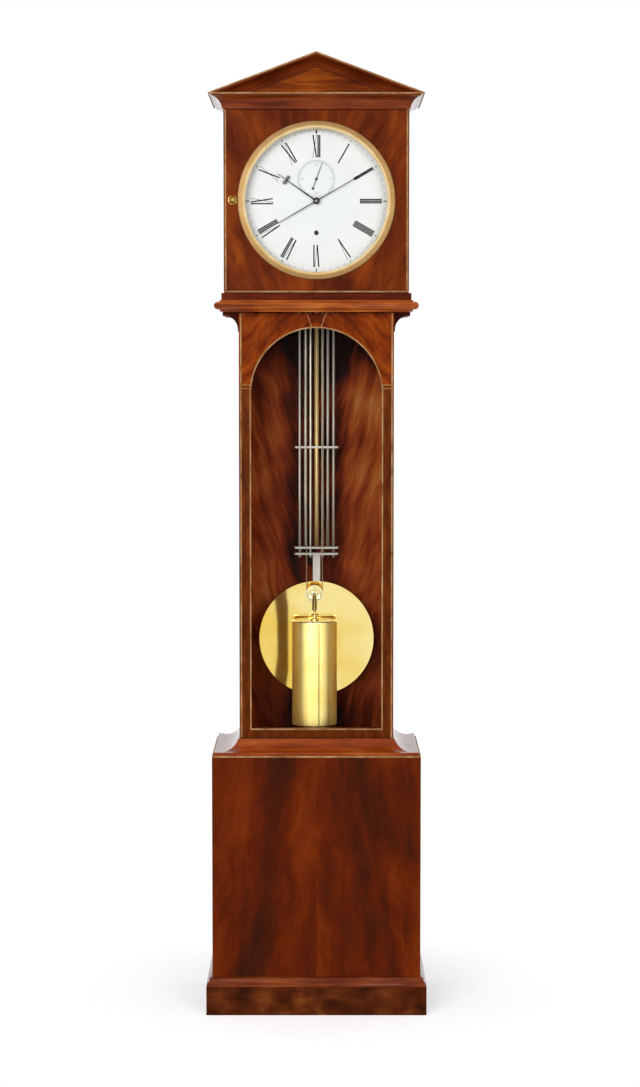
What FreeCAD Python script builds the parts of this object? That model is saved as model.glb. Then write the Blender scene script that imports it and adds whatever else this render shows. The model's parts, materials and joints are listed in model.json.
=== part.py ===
import FreeCAD
import Part
import math
import os

# Regulator clock on a floor-standing case. Millimetres, +Z up, the front looks along -Y.
# The origin lies on the floor, under the middle of the case.

# Case: widths and depths grow from the trunk by a projection that is the same in front and at the sides
trunk_width = 328.0
trunk_depth = 222.0
base_projection = 57.0
plinth_projection = 70.0
hood_projection = 30.0
rail_projection = 35.0
shelf_projection = 50.0
cornice_projection = 61.0

# Case: heights of the storeys, from the floor up
plinth_height = 61.0
plinth_moulding_height = 19.0
base_height = 474.0
cove_fillet_height = 6.5
cove_height = 22.5
trunk_height = 907.0
shelf_height = 24.0
rail_height = 15.0
hood_height = 382.0
cornice_height = 31.0
pediment_height = 84.0

# Case: boards and the holes for the wall screws
side_thickness = 16.0
base_thickness = 18.0
back_thickness = 18.0
board_thickness = 18.0
roof_thickness = 10.0
tympanum_thickness = 12.0
rake_depth = 27.0
bracket_drop = 40.0
wall_hole_radius = 4.0
wall_hole_spacing = 300.0
wall_hole_drop = 40.0

# Inlaid strings
string_width = 3.0
base_string_width = 3.5
string_depth = 2.0
string_inset = 2.5
thin_string = 2.0
capital_spacing = 7.5
key_half_low = 8.5
key_half_high = 19.5

# Clearances
fit = 0.05
sliding_gap = 0.2
free_gap = 0.3
glazing_gap = 0.4
swing_clearance = 0.4
door_edge_gap = 1.5

# Doors
door_thickness = 22.0
hinge_inset = 6.0
hinge_plate_margin = 1.0
hinge_pin_radius = 2.5
hinge_pin_length = 9.0
hinge_plate_length = 40.0
hinge_plate_thickness = 3.0
stile_width = 25.5
light_sill = 21.0
light_head = 33.5
capital_rise = 10.0
rebate_width = 7.0
rebate_depth = 8.0
glass_thickness = 3.0

# Dial, bezel and catch of the hood door
dial_height_in_hood = 193.0
dial_radius = 155.0
dial_thickness = 3.0
dial_gap = 6.0
winding_hole_radius = 5.0
bezel_overlap = 10.0
bezel_cover = 6.5
bezel_seat_step = 1.0
bezel_height = 7.0
bezel_glass_setback = 4.0
knob_inset = 19.0
knob_radius = 9.5
spindle_radius = 2.5
tongue_length = 12.0
tongue_thickness = 2.5
tongue_setback = 3.0
pocket_margin = 2.0

# Wheel train: teeth and modules
great_teeth, intermediate_leaves, great_module = 84, 12, 0.8
intermediate_teeth, centre_leaves, intermediate_module = 84, 12, 0.7
centre_teeth, third_leaves, centre_module = 80, 10, 0.7
third_teeth, escape_leaves, third_module = 75, 10, 0.6
cannon_teeth, minute_teeth, cannon_module = 20, 60, 0.6
minute_leaves, hour_teeth, hour_module = 15, 60, 0.64
escape_teeth = 30
ratchet_teeth = 24

# Wheel train: sizes
escape_radius = 22.0
escape_tooth_height = 4.5
ratchet_root = 11.0
ratchet_tip = 13.5
barrel_drop = 66.0
escape_rise = 46.0
pallet_above_escape = 35.0
wheel_thickness = 2.0
wheel_arms = 5
wheel_arm_width = 3.0
hub_width = 4.0
arbor_radius = 1.8
pivot_radius = 1.2
centre_front_radius = 1.8
stud_radius = 2.0
drum_arbor_radius = 4.0
drum_pivot_radius = 3.0
drum_half_length = 11.0
drum_flange = 2.0
square_half = 2.5
hour_pipe_radius = 5.0
cannon_pipe_radius = 3.2

# Wheel train: where the wheels stand between the plates, one after another
centre_behind_plate = 12.0
intermediate_behind_centre = 10.0
great_behind_intermediate = 11.0
line_behind_great = 18.0
plate_behind_line = 17.0
third_behind_centre = 12.0
escape_behind_third = 17.0
cannon_before_plate = 7.0
hour_before_cannon = 6.0
pinion_before = 4.0
pinion_after = 6.0
end_shake = 1.0
pivot_short = 0.5

# Movement frame
plate_half_width = 70.0
plate_rise = 106.0
plate_drop = 112.0
plate_thickness = 4.0
dial_to_plate = 23.0
pillar_radius = 6.0
pillar_inset = 11.0
bolt_radius = 3.0
nut_height = 3.5
bolt_end = 0.5
dial_foot_radius = 3.5
dial_feet = ((40.0, 60.0), (160.0, 60.0), (270.0, 100.0))
bracket_flange = 8.0
bracket_arm_width = 10.0
bracket_clearance = 7.0
bracket_low = 75.0
bracket_high = 35.0
screw_head_radius = 6.0
screw_head_height = 3.0
hook_radius = 3.0

# Pallets and crutch
pallet_clearance = 1.5
pallet_spread = 51.0
hub_radius = 5.0
cock_standoff = 22.0
cock_thickness = 5.0
cock_half_width = 14.0
cock_half_height = 8.0
cock_leg = 6.0
crutch_behind_cock = 8.0
crutch_thickness = 5.0
crutch_drop = 68.0
crutch_prong = 3.0

# Pendulum: drops are measured from the suspension pin
suspension_pin_radius = 2.5
suspension_pin_reach = 9.5
cheek_gap = 5.0
cheek_thickness = 4.0
chop_drop = 46.0
chop_height = 18.0
spring_half_thickness = 0.3
gridiron_rod_radius = 3.0
gridiron_centre_radius = 5.2
gridiron_offsets = (13.0, 24.5, 37.0)
gridiron_top_drop = 101.0
gridiron_second_drop = 114.5
gridiron_guide_drop = 603.0
gridiron_bottom_drop = 823.0
gridiron_foot_drop = 836.5
bridge_end = 9.0
bridge_half_depth = 7.0
bridge_height = 4.5
rod_end = 4.0
stem_half_width = 8.0
stem_half_depth = 2.5
bob_drop = 1021.0
bob_radius = 125.0
bob_half_thickness = 14.0
bob_rim_half = 12.0
bob_to_weight = 17.5
rating_thread_radius = 3.5
rating_thread_top = 25.0
rating_thread_end = 22.0
rating_nut_radius = 11.0
rating_nut_height = 10.0
rating_nut_flutes = 24
rating_travel = 6.0

# Weight and line
line_radius = 1.0
drum_line_radius = 12.7
pulley_line_radius = 17.0
weight_radius = 48.5
weight_above_floor = 48.0
weight_length = 227.0
weight_edge = 3.0
weight_to_door = 5.0
pulley_above_weight = 56.0
pulley_half_width = 4.0
pulley_rim = 2.2
pulley_hub_radius = 6.5
pulley_face_width = 4.5
pulley_recess = 1.6
pulley_axle_radius = 2.5
stirrup_half_width = 5.0
stirrup_cheek = 2.2
stirrup_below_pulley = 10.0

# Hands: angles in degrees from twelve, lengths as shares of the dial's radius
hour_angle = 305.0
minute_angle = 60.0
second_angle = 20.0
hour_hand_share = 0.64
minute_hand_share = 0.884
minute_tail_share = 0.594
second_hand_length = 37.0
second_tail_length = 24.0
hand_thickness = 0.8
second_hand_lift = 2.0
hour_hand_lift = 4.5
minute_hand_lift = 8.0

# Levels worked out from the storeys
z_base = plinth_height + plinth_moulding_height
z_base_top = z_base + base_height
z_cove = z_base_top + cove_fillet_height
z_trunk = z_cove + cove_height
z_shelf = z_trunk + trunk_height
z_rail = z_shelf + shelf_height
z_hood = z_rail + rail_height
z_cornice = z_hood + hood_height
z_roof = z_cornice + cornice_height
z_apex = z_roof + pediment_height
z_board_top = z_roof - board_thickness
z_dial = z_hood + dial_height_in_hood

# Half widths
half_trunk = trunk_width / 2
half_base = half_trunk + base_projection
half_hood = half_trunk + hood_projection
trunk_inside = half_trunk - side_thickness
base_inside = half_base - base_thickness
hood_inside = half_hood - side_thickness
light_half_width = half_trunk - stile_width
knob_offset = half_hood - knob_inset
bridge_half_width = gridiron_offsets[2] + bridge_end

# Planes from front to back
y_back = (trunk_depth + plinth_projection) / 2
y_board = y_back - back_thickness
y_trunk = y_back - trunk_depth
y_hood = y_trunk - hood_projection
y_dial = y_hood + door_thickness + dial_gap
y_second_hand = y_dial - second_hand_lift
y_hour_hand = y_dial - hour_hand_lift
y_minute_hand = y_dial - minute_hand_lift
y_front_plate = y_dial + dial_thickness + dial_to_plate
y_cannon = y_front_plate - cannon_before_plate
y_hour_wheel = y_cannon - hour_before_cannon
y_between = y_front_plate + plate_thickness
y_centre = y_between + centre_behind_plate
y_third = y_centre + third_behind_centre
y_escape = y_third + escape_behind_third
y_intermediate = y_centre + intermediate_behind_centre
y_great = y_intermediate + great_behind_intermediate
y_weight_clear = y_trunk + door_thickness + weight_to_door + weight_radius
y_line = max(y_great + line_behind_great, y_weight_clear)
y_back_plate = y_line + plate_behind_line
y_plate_end = y_back_plate + plate_thickness
y_cock = y_plate_end + cock_standoff
y_crutch = y_cock + crutch_behind_cock
y_pendulum = y_line + weight_radius + bob_to_weight + bob_half_thickness
y_front_pivot = y_front_plate + pivot_short
y_back_pivot = y_plate_end - pivot_short

# The back corner of a door swings out this far behind its closed place
door_behind_hinge = door_thickness - hinge_inset
door_back_gap = math.hypot(hinge_inset, door_behind_hinge) - door_behind_hinge + swing_clearance

os.makedirs("parts", exist_ok=True)


# Basic shapes

def vec(x, y, z):
    return FreeCAD.Vector(x, y, z)


def box(x0, x1, y0, y1, z0, z1):
    return Part.makeBox(x1 - x0, y1 - y0, z1 - z0, vec(x0, y0, z0))


def rod_y(x, z, radius, y0, y1):
    return Part.makeCylinder(radius, y1 - y0, vec(x, y0, z), vec(0, 1, 0))


def rod_z(x, y, radius, z0, z1):
    return Part.makeCylinder(radius, z1 - z0, vec(x, y, z0), vec(0, 0, 1))


def outline_face(steps, place):
    # A step is a point, or a pair (middle, end) for an arc
    edges = []
    here = steps[0]
    for step in list(steps[1:]) + [steps[0]]:
        if isinstance(step[0], tuple):
            middle, end = step
            edges.append(Part.Arc(place(*here), place(*middle), place(*end)).toShape())
        else:
            end = step
            if math.dist(here, end) < 1e-6:
                continue
            edges.append(Part.LineSegment(place(*here), place(*end)).toShape())
        here = end
    return Part.Face(Part.Wire(edges))


def plate_y(steps, y0, y1):
    face = outline_face(steps, lambda x, z: vec(x, y0, z))
    return face.extrude(vec(0, y1 - y0, 0))


def plate_z(steps, z0, z1):
    face = outline_face(steps, lambda x, y: vec(x, y, z0))
    return face.extrude(vec(0, 0, z1 - z0))


def turned_y(steps, x, z):
    # Steps are (radius, y) round an axis along Y
    face = outline_face(steps, lambda r, y: vec(x + r, y, z))
    return face.revolve(vec(x, 0, z), vec(0, 1, 0), 360)


def turned_z(steps, x, y):
    # Steps are (radius, z) round an upright axis
    face = outline_face(steps, lambda r, z: vec(x + r, y, z))
    return face.revolve(vec(x, y, 0), vec(0, 0, 1), 360)


def dome_middle(radius, y_edge, y_pole):
    # A point half way along a ball's arc that runs from (radius, y_edge) to the axis at y_pole
    rise = y_edge - y_pole
    ball = (radius ** 2 + rise ** 2) / (2 * abs(rise))
    half = math.asin(radius / ball) / 2
    return ball * math.sin(half), y_pole + math.copysign(ball * (1 - math.cos(half)), rise)


def mirrored(shape):
    return shape.mirror(vec(0, 0, 0), vec(1, 0, 0))


def both(shape):
    return [shape, mirrored(shape)]


def fused(shapes):
    return shapes[0].multiFuse(shapes[1:]).removeSplitter()


def turned(shape, clock_degrees, x, z):
    # Clock angle as seen from the front
    copy = shape.copy()
    copy.rotate(vec(x, 0, z), vec(0, 1, 0), clock_degrees)
    return copy


def save(node, shapes):
    if not isinstance(shapes, list):
        shapes = [shapes]
    solids = [solid for shape in shapes for solid in shape.Solids]
    whole = solids[0] if len(solids) == 1 else Part.makeCompound(solids)
    whole.exportStep("parts/" + node + ".step")


# Mouldings

def at(projection):
    return y_trunk - projection


def mitred_frame(steps):
    # Steps are (projection, z). Returns the front length and the two side lengths, mitred together.
    points = []
    for step in steps:
        points += list(step) if isinstance(step[0], tuple) else [step]
    inner = min(p for p, _ in points)
    outer = max(p for p, _ in points)
    low = min(z for _, z in points) - 1
    high = max(z for _, z in points) + 1
    reach = half_trunk + outer
    front = outline_face(steps, lambda p, z: vec(-reach, at(p), z)).extrude(vec(2 * reach, 0, 0))
    side = outline_face(steps, lambda p, z: vec(half_trunk + p, at(outer), z))
    side = side.extrude(vec(0, y_back - at(outer), 0))
    corner_in = (half_trunk + inner, at(inner))
    corner_out = (reach, at(outer))
    front_zone = [corner_in, corner_out, (-corner_out[0], corner_out[1]), (-corner_in[0], corner_in[1])]
    side_zone = [corner_in, corner_out, (reach, y_back), (corner_in[0], y_back)]
    front = front.common(plate_z(front_zone, low, high))
    side = side.common(plate_z(side_zone, low, high))
    return [front] + both(side)


def square_frame(inner, outer, z0, z1):
    return mitred_frame([(inner, z0), (outer, z0), (outer, z1), (inner, z1)])


def without(shapes, cutters):
    return [shape.cut(cutters) for shape in shapes]


# Base of the case

def case_edge(y_front):
    # Front edge of the case behind a closed door
    return y_front + door_thickness + door_back_gap


def base_string():
    z_low = z_base_top - base_string_width
    return square_frame(base_projection - string_depth, base_projection, z_low, z_base_top)


def make_plinth():
    inner = base_projection - base_thickness
    filler = box(-base_inside, base_inside, y_board, y_back, 0, plinth_height)
    save("plinth_skirt", square_frame(inner, plinth_projection, 0, plinth_height) + [filler])

    lower = plinth_projection - 1
    upper = base_projection + 6.5
    z_step = z_base - 7
    steps = [(base_projection, plinth_height), (lower, plinth_height), (lower, plinth_height + 3),
             ((lower - 1.6, plinth_height + 8), (upper + 1, z_step - 1)), (upper, z_step),
             (upper, z_base - 3), ((upper - 1, z_base - 1), (upper - 3, z_base)), (base_projection, z_base)]
    save("plinth_moulding", mitred_frame(steps))


def make_base():
    string = base_string()
    y_inner = at(base_projection - base_thickness)
    front = box(-half_base, half_base, at(base_projection), y_inner, plinth_height, z_base_top)
    side = box(base_inside, half_base, y_inner, y_back, plinth_height, z_base_top)
    save("base_front_panel", without([front], string))
    save("base_side_panels", without(both(side), string))

    floor = box(-base_inside, base_inside, y_inner, y_board, plinth_height, plinth_height + board_thickness)
    top = box(-base_inside, base_inside, y_inner, y_board, z_base_top - board_thickness, z_base_top)
    back = box(-base_inside, base_inside, y_board, y_back, plinth_height, z_base_top)
    sill = box(-half_trunk, half_trunk, y_trunk, case_edge(y_trunk), z_base_top, z_trunk)
    plate = hinge_plate(z_trunk - hinge_plate_thickness, half_trunk, y_trunk)
    save("base_carcase_boards", [floor, top, back, sill.cut(plate)])

    foot = base_projection - 4
    steps = [(0, z_base_top), (foot, z_base_top), (foot, z_cove), (foot - 4, z_cove),
             ((15, z_cove + 5), (2.5, z_trunk)), (0, z_trunk)]
    save("base_cove_moulding", mitred_frame(steps))


# Trunk of the case

def make_trunk():
    y_edge = case_edge(y_trunk)
    save("trunk_side_panels", both(box(trunk_inside, half_trunk, y_edge, y_back, z_base_top, z_shelf)))

    reach = half_trunk + rail_projection
    z_fillet = z_shelf - 7
    z_foot = z_shelf - bracket_drop
    steps = [(half_trunk, z_shelf), (reach, z_shelf), (reach, z_fillet), (reach - 4, z_fillet),
             ((half_trunk + 11, z_fillet - 9), (half_trunk + 3, z_foot)), (half_trunk, z_foot)]
    save("waist_brackets", both(plate_y(steps, y_edge + door_edge_gap, y_back)))


def make_shelf():
    inner = -side_thickness
    nose = shelf_projection
    half_nose = 8.0
    z_nose = z_shelf + shelf_height / 2 + 0.5
    lip = nose - half_nose
    steps = [(inner, z_shelf), (lip - 4, z_shelf), (lip - 4, z_nose - half_nose), (lip, z_nose - half_nose),
             ((nose, z_nose), (lip, z_nose + half_nose)), (lip - 3, z_nose + half_nose), (lip - 3, z_rail),
             (inner, z_rail)]
    save("waist_shelf", without(mitred_frame(steps), [hinge_plate(z_shelf, half_trunk, y_trunk)]))


# Hood of the case

def make_hood():
    rail = square_frame(hood_projection - side_thickness, rail_projection, z_rail, z_hood)
    plate = hinge_plate(z_hood - hinge_plate_thickness, half_hood, y_hood)
    save("hood_base_rail", without(rail, [plate]))

    side = box(hood_inside, half_hood, case_edge(y_hood), y_back, z_hood, z_board_top)
    save("hood_side_panels", [side, mirrored(side).cut(catch_pocket())])

    trunk_back = box(-trunk_inside, trunk_inside, y_board, y_back, z_base_top, z_rail)
    hood_back = box(-hood_inside, hood_inside, y_board, y_back, z_rail, z_board_top)
    z_hole = z_board_top - wall_hole_drop
    hole = rod_y(wall_hole_spacing / 2, z_hole, wall_hole_radius, y_board - 1, y_back + 1)
    save("backboards", [trunk_back, hood_back.cut(both(hole))])


def cornice_string():
    inner = cornice_projection - string_width
    return square_frame(inner, cornice_projection, z_roof - string_width, z_roof)


def make_cornice():
    foot = hood_projection + 3
    crown = cornice_projection
    lip = crown - 7
    z_string = z_roof - string_width
    z_lip = z_string - 3
    steps = [(hood_projection, z_cornice), (foot, z_cornice), (foot, z_cornice + 4),
             ((foot + 5, z_cornice + 15), (lip - 3, z_lip)), (lip, z_lip), (lip, z_string), (crown, z_string),
             (crown, z_roof), (hood_projection, z_roof)]
    front, right, left = without(mitred_frame(steps), cornice_string())
    header = box(-half_hood, half_hood, y_hood, y_hood + door_thickness, z_cornice, z_roof)
    front = fused([front, header]).cut(hinge_plate(z_cornice, half_hood, y_hood))
    save("hood_cornice", [front, right, left])


def slope_frame():
    run = half_trunk + cornice_projection
    length = math.hypot(run, pediment_height)
    along = vec(run / length, 0, pediment_height / length)
    return run, length, along, vec(-along.z, 0, along.x)


def rake_length(steps):
    # Steps are (y, depth below the sloping top). Runs from the left corner to the middle plane.
    run, length, along, up = slope_frame()
    start = vec(-run, 0, z_roof)
    overrun = 60.0

    def place(y, depth):
        point = start - along * overrun - up * depth
        return vec(point.x, y, point.z)

    bar = outline_face(steps, place).extrude(along * (length + 2 * overrun))
    keep = box(-run, 0, at(cornice_projection) - 1, y_back + 1, z_roof, z_apex + 1)
    return bar.common(keep)


def rake_string():
    front = at(cornice_projection)
    rear = front + string_width
    return rake_length([(front, 0), (rear, 0), (rear, string_width), (front, string_width)])


def gable(depth, y0, y1):
    # The triangle under the slopes, down from a given depth below them
    run, length, along, up = slope_frame()
    drop = depth * length / run
    foot = run - drop * run / pediment_height
    return plate_y([(-foot, z_roof), (foot, z_roof), (0, z_apex - drop)], y0, y1)


def make_pediment():
    front = at(cornice_projection)
    panel = y_hood
    rear = panel + tympanum_thickness
    bead = rake_depth - 5
    steps = [(front, 0), (rear, 0), (rear, rake_depth), (panel - 6, rake_depth), (panel - 6, bead),
             (panel - 9, bead), ((front + 13, 12), (front + 6, 7)), (front, 7)]
    save("pediment_rakes", both(rake_length(steps).cut(rake_string())))
    save("pediment_tympanum", gable(rake_depth, panel, rear))

    slope = rake_length([(rear, 0), (y_back, 0), (y_back, roof_thickness), (rear, roof_thickness)])
    back = gable(roof_thickness, y_back - tympanum_thickness, y_back)
    top = box(-half_hood, half_hood, y_hood + door_thickness, y_back, z_board_top, z_roof)
    save("hood_roof_boards", [top] + both(slope) + [back])


# Pin hinges of the doors, at the right front corner of each

def hinge_axis(half, y_front):
    return half - hinge_inset, y_front + hinge_inset


def hinge_plate(z0, half, y_front):
    x, y = hinge_axis(half, y_front)
    y0 = y_front + string_depth + free_gap
    x1 = half - hinge_plate_margin
    return box(x - hinge_plate_length, x1, y0, y + hinge_inset, z0, z0 + hinge_plate_thickness)


def case_hinge(half, y_front, z_low, z_high):
    # A plate let into the case below and above the door, each with a pin that stands into the door
    x, y = hinge_axis(half, y_front)
    low = hinge_plate(z_low - hinge_plate_thickness, half, y_front)
    high = hinge_plate(z_high, half, y_front)
    low_pin = rod_z(x, y, hinge_pin_radius, z_low - hinge_plate_thickness, z_low + hinge_pin_length)
    high_pin = rod_z(x, y, hinge_pin_radius, z_high - hinge_pin_length, z_high + hinge_plate_thickness)
    return [fused([low, low_pin]), fused([high, high_pin])]


def door_hinge(half, y_front, z_low, z_high):
    # Plates let into the ends of the door, bored for the pins
    x, y = hinge_axis(half, y_front)
    low = hinge_plate(z_low, half, y_front)
    high = hinge_plate(z_high - hinge_plate_thickness, half, y_front)
    bore = rod_z(x, y, hinge_pin_radius + fit, z_low - 1, z_high + 1)
    return [low.cut(bore), high.cut(bore)]


def hinge_pocket(half, y_front, z_low, z_high):
    # What the plates and pins take out of the door
    x, y = hinge_axis(half, y_front)
    depth = hinge_pin_length + 1
    radius = hinge_pin_radius + fit
    return [hinge_plate(z_low, half, y_front), hinge_plate(z_high - hinge_plate_thickness, half, y_front),
            rod_z(x, y, radius, z_low, z_low + depth), rod_z(x, y, radius, z_high - depth, z_high)]


# Trunk door

z_spring = z_shelf - light_head - light_half_width
z_capital = z_spring + capital_rise


def light_shape(grow, y0, y1):
    # The round-headed opening, widened by grow on every side
    half = light_half_width + grow
    z_low = z_trunk + light_sill - grow
    steps = [(-half, z_low), (half, z_low), (half, z_spring), ((0, z_spring + half), (-half, z_spring))]
    return plate_y(steps, y0, y1)


def upright_strings(half, y_front, z0, z1):
    x1 = half - string_inset
    return both(box(x1 - string_width, x1, y_front, y_front + string_depth, z0, z1))


def trunk_door_strings(z_low, z_high):
    y_string = y_trunk + string_depth
    ring = light_shape(string_width, y_trunk, y_string)
    capitals = []
    x_end = half_trunk - string_inset
    for z in (z_capital, z_capital + capital_spacing):
        capitals += both(box(light_half_width, x_end, y_trunk, y_string, z, z + thin_string))
    z_crown = z_spring + light_half_width
    key = plate_y([(key_half_low, z_crown), (key_half_low + thin_string, z_crown),
                   (key_half_high + thin_string, z_high), (key_half_high, z_high)], y_trunk, y_string)
    uprights = upright_strings(half_trunk, y_trunk, z_low, z_high)
    return fused([ring] + uprights + capitals + both(key)).cut(light_shape(0, y_trunk - 1, y_string + 1))


def make_trunk_door():
    z_low = z_trunk + door_edge_gap
    z_high = z_shelf - door_edge_gap
    y_in = y_trunk + door_thickness
    y_glass = y_in - rebate_depth
    strings = trunk_door_strings(z_low, z_high)
    save("trunk_door_stringing", strings)

    body = box(-half_trunk, half_trunk, y_trunk, y_in, z_low, z_high)
    opening = light_shape(0, y_trunk - 1, y_in + 1)
    rebate = light_shape(rebate_width, y_glass, y_in + 1)
    body = body.cut([opening, rebate, strings] + hinge_pocket(half_trunk, y_trunk, z_low, z_high))
    head = box(-half_trunk, half_trunk, y_trunk, y_in, z_capital, z_high)
    stile = box(light_half_width, half_trunk, y_trunk, y_in, z_low, z_capital)
    rail = box(-light_half_width, light_half_width, y_trunk, y_in, z_low, z_trunk + light_sill)
    save("trunk_door_frame", [body.common(zone) for zone in [head, rail] + both(stile)])

    pane_edge = rebate_width - glazing_gap
    save("trunk_door_glass", light_shape(pane_edge, y_glass, y_glass + glass_thickness))
    bead = light_shape(pane_edge, y_glass + glass_thickness, y_in)
    save("trunk_door_bead", bead.cut(light_shape(0, y_glass, y_in + 1)))
    save("trunk_door_hinge_plates", door_hinge(half_trunk, y_trunk, z_low, z_high))


# Hood door

y_tongue = case_edge(y_hood) + tongue_setback
bezel_radius = dial_radius + bezel_overlap
bezel_opening = dial_radius - bezel_cover
bezel_seat = dial_radius + bezel_seat_step


def catch_pocket():
    # A slot in the left side panel, open inwards, for the tongue of the catch
    x0 = -knob_offset - tongue_length - pocket_margin
    y0 = y_tongue - swing_clearance
    y1 = y_tongue + tongue_thickness + swing_clearance
    z0 = z_dial - spindle_radius - pocket_margin
    return box(x0, -hood_inside + 1, y0, y1, z0, z_dial + tongue_length + pocket_margin)


def make_hood_door():
    z_low = z_hood + door_edge_gap
    z_high = z_cornice - door_edge_gap
    y_in = y_hood + door_thickness
    foot = box(-half_hood, half_hood, y_hood, y_hood + string_depth, z_low, z_low + string_width)
    strings = fused([foot] + upright_strings(half_hood, y_hood, z_low + string_width, z_high))
    save("hood_door_stringing", strings)

    panel = box(-half_hood, half_hood, y_hood, y_in, z_low, z_high)
    panel = panel.cut([rod_y(0, z_dial, bezel_seat + free_gap, y_hood - 1, y_in + 1), strings,
                       rod_y(-knob_offset, z_dial, spindle_radius + fit, y_hood - 1, y_in + 1)]
                      + hinge_pocket(half_hood, y_hood, z_low, z_high))
    save("hood_door_panel", panel)
    save("hood_door_hinge_plates", door_hinge(half_hood, y_hood, z_low, z_high))


def make_bezel():
    lip = bezel_seat - 2
    y_top = y_hood - bezel_height
    y_glass = y_hood + bezel_glass_setback
    y_end = y_hood + door_thickness - 2
    r = bezel_radius
    steps = [(r, y_hood), (r, y_hood - 2.5), (r - 1.5, y_hood - 4), (r - 9.5, y_top), (r - 11, y_top),
             (r - 11.6, y_top + 1.4), (r - 13, y_top + 1.4),
             ((r - 14.6, y_hood - 2.5), (bezel_opening, y_hood + 2)), (bezel_opening, y_glass),
             (lip, y_glass), (lip, y_end), (bezel_seat, y_end), (bezel_seat, y_hood)]
    save("bezel_ring", turned_y(steps, 0, z_dial))
    save("hood_door_glass", rod_y(0, z_dial, lip - glazing_gap, y_glass, y_glass + glass_thickness))


def make_knob():
    collar = y_hood - free_gap
    neck = knob_radius - 3.5
    ball = knob_radius - 1.5
    y_ball = collar - 8
    y_pole = collar - 14
    steps = [(0, collar), (knob_radius - 1, collar), (knob_radius, collar - 1.5), (knob_radius, collar - 3),
             (neck, collar - 3.6), (neck, collar - 5), (ball, y_ball),
             (dome_middle(ball, y_ball, y_pole), (0, y_pole))]
    knob = turned_y(steps, -knob_offset, z_dial)
    y_end = y_tongue + tongue_thickness
    shaft = rod_y(-knob_offset, z_dial, spindle_radius, collar, y_end)
    tongue = box(-knob_offset - spindle_radius, -knob_offset + spindle_radius, y_tongue, y_end, z_dial,
                 z_dial + tongue_length)
    save("hood_door_knob", fused([knob, shaft, tongue]))


# Wheel work

def pair_distance(teeth, leaves, module):
    return (teeth + leaves) * module / 2


def meeting_point(a, from_a, b, from_b, side):
    # The point at given distances from two points, on the side (+1 or -1) of the line from a to b
    gap = math.dist(a, b)
    along = (from_a ** 2 - from_b ** 2 + gap ** 2) / (2 * gap)
    off = side * math.sqrt(from_a ** 2 - along ** 2)
    ux = (b[0] - a[0]) / gap
    uz = (b[1] - a[1]) / gap
    return a[0] + along * ux - off * uz, a[1] + along * uz + off * ux


barrel = (0.0, z_dial - barrel_drop)
centre = (0.0, z_dial)
escape = (0.0, z_dial + escape_rise)
pallet = (0.0, z_dial + escape_rise + pallet_above_escape)
intermediate = meeting_point(
    barrel, pair_distance(great_teeth, intermediate_leaves, great_module),
    centre, pair_distance(intermediate_teeth, centre_leaves, intermediate_module), -1)
third = meeting_point(
    centre, pair_distance(centre_teeth, third_leaves, centre_module),
    escape, pair_distance(third_teeth, escape_leaves, third_module), 1)
minute_stud = (centre[0] + pair_distance(minute_teeth, cannon_teeth, cannon_module), centre[1])


def bearing_of(a, b):
    return math.atan2(b[1] - a[1], b[0] - a[0])


def ring_of_teeth(count, half_flank, first):
    # Repeats one tooth, given as (radius, half angle) from root to tip, round the circle
    points = []
    for tooth in range(count):
        middle = first + 2 * math.pi * tooth / count
        rising = [(r, middle - half) for r, half in half_flank]
        falling = [(r, middle + half) for r, half in reversed(half_flank)]
        points += rising + falling
    return [(r * math.cos(angle), r * math.sin(angle)) for r, angle in points]


def wheel_flank(teeth, leaves, module):
    # Cycloidal wheel tooth: straight below the pitch circle, epicycloid above it
    share = 0.44
    pitch_radius = teeth * module / 2
    rolling = leaves * module / 4
    half = share * math.pi / teeth
    flank = [(pitch_radius - 1.15 * module, half), (pitch_radius, half)]
    reach = pitch_radius + rolling
    for rise in (0.5, 0.95):
        r = pitch_radius + rise * module
        rolled = math.acos((reach ** 2 + rolling ** 2 - r ** 2) / (2 * rolling * reach))
        turn = rolled * rolling / pitch_radius
        x = reach * math.cos(turn) - rolling * math.cos(turn + rolled)
        z = reach * math.sin(turn) - rolling * math.sin(turn + rolled)
        flank.append((r, half - math.atan2(z, x)))
    return flank


def pinion_flank(leaves, module):
    # Radial leaf with a short rounded end
    share = 0.34
    pitch_radius = leaves * module / 2
    half = share * math.pi / leaves
    return [(pitch_radius - 1.25 * module, half), (pitch_radius, half),
            (pitch_radius + 0.3 * module, 0.75 * half), (pitch_radius + 0.5 * module, 0.35 * half)]


def toothed(place, points, y0, y1):
    return plate_y([(place[0] + x, place[1] + z) for x, z in points], y0, y1)


def crossings(place, y0, rim, hub, arms, arm_width):
    # What is taken out of a wheel between its rim, its hub and its arms
    x, z = place
    y1 = y0 + wheel_thickness
    window = rod_y(x, z, rim, y0, y1).cut(rod_y(x, z, hub, y0, y1))
    bar = box(x - arm_width / 2, x + arm_width / 2, y0, y1, z, z + rim + 1)
    return window.cut([turned(bar, 360.0 * arm / arms, x, z) for arm in range(arms)])


def wheel(place, mate, teeth, leaves, module, y0, bore):
    # A crossed-out wheel with a tooth on the line to its mate
    y1 = y0 + wheel_thickness
    points = ring_of_teeth(teeth, wheel_flank(teeth, leaves, module), bearing_of(place, mate))
    disc = toothed(place, points, y0, y1)
    rim = teeth * module / 2 - 4.5 * module
    window = crossings(place, y0, rim, bore + hub_width, wheel_arms, wheel_arm_width)
    return disc.cut([window, rod_y(place[0], place[1], bore, y0, y1)])


def pinion(place, mate, leaves, module, y0, y1):
    # A pinion with a gap on the line to its mate
    first = bearing_of(place, mate) + math.pi / leaves
    return toothed(place, ring_of_teeth(leaves, pinion_flank(leaves, module), first), y0, y1)


def driven_pinion(place, mate, leaves, module, y_wheel):
    # A pinion on an arbor, long enough to stand both sides of the wheel that drives it
    return pinion(place, mate, leaves, module, y_wheel - pinion_before, y_wheel + pinion_after)


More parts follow.
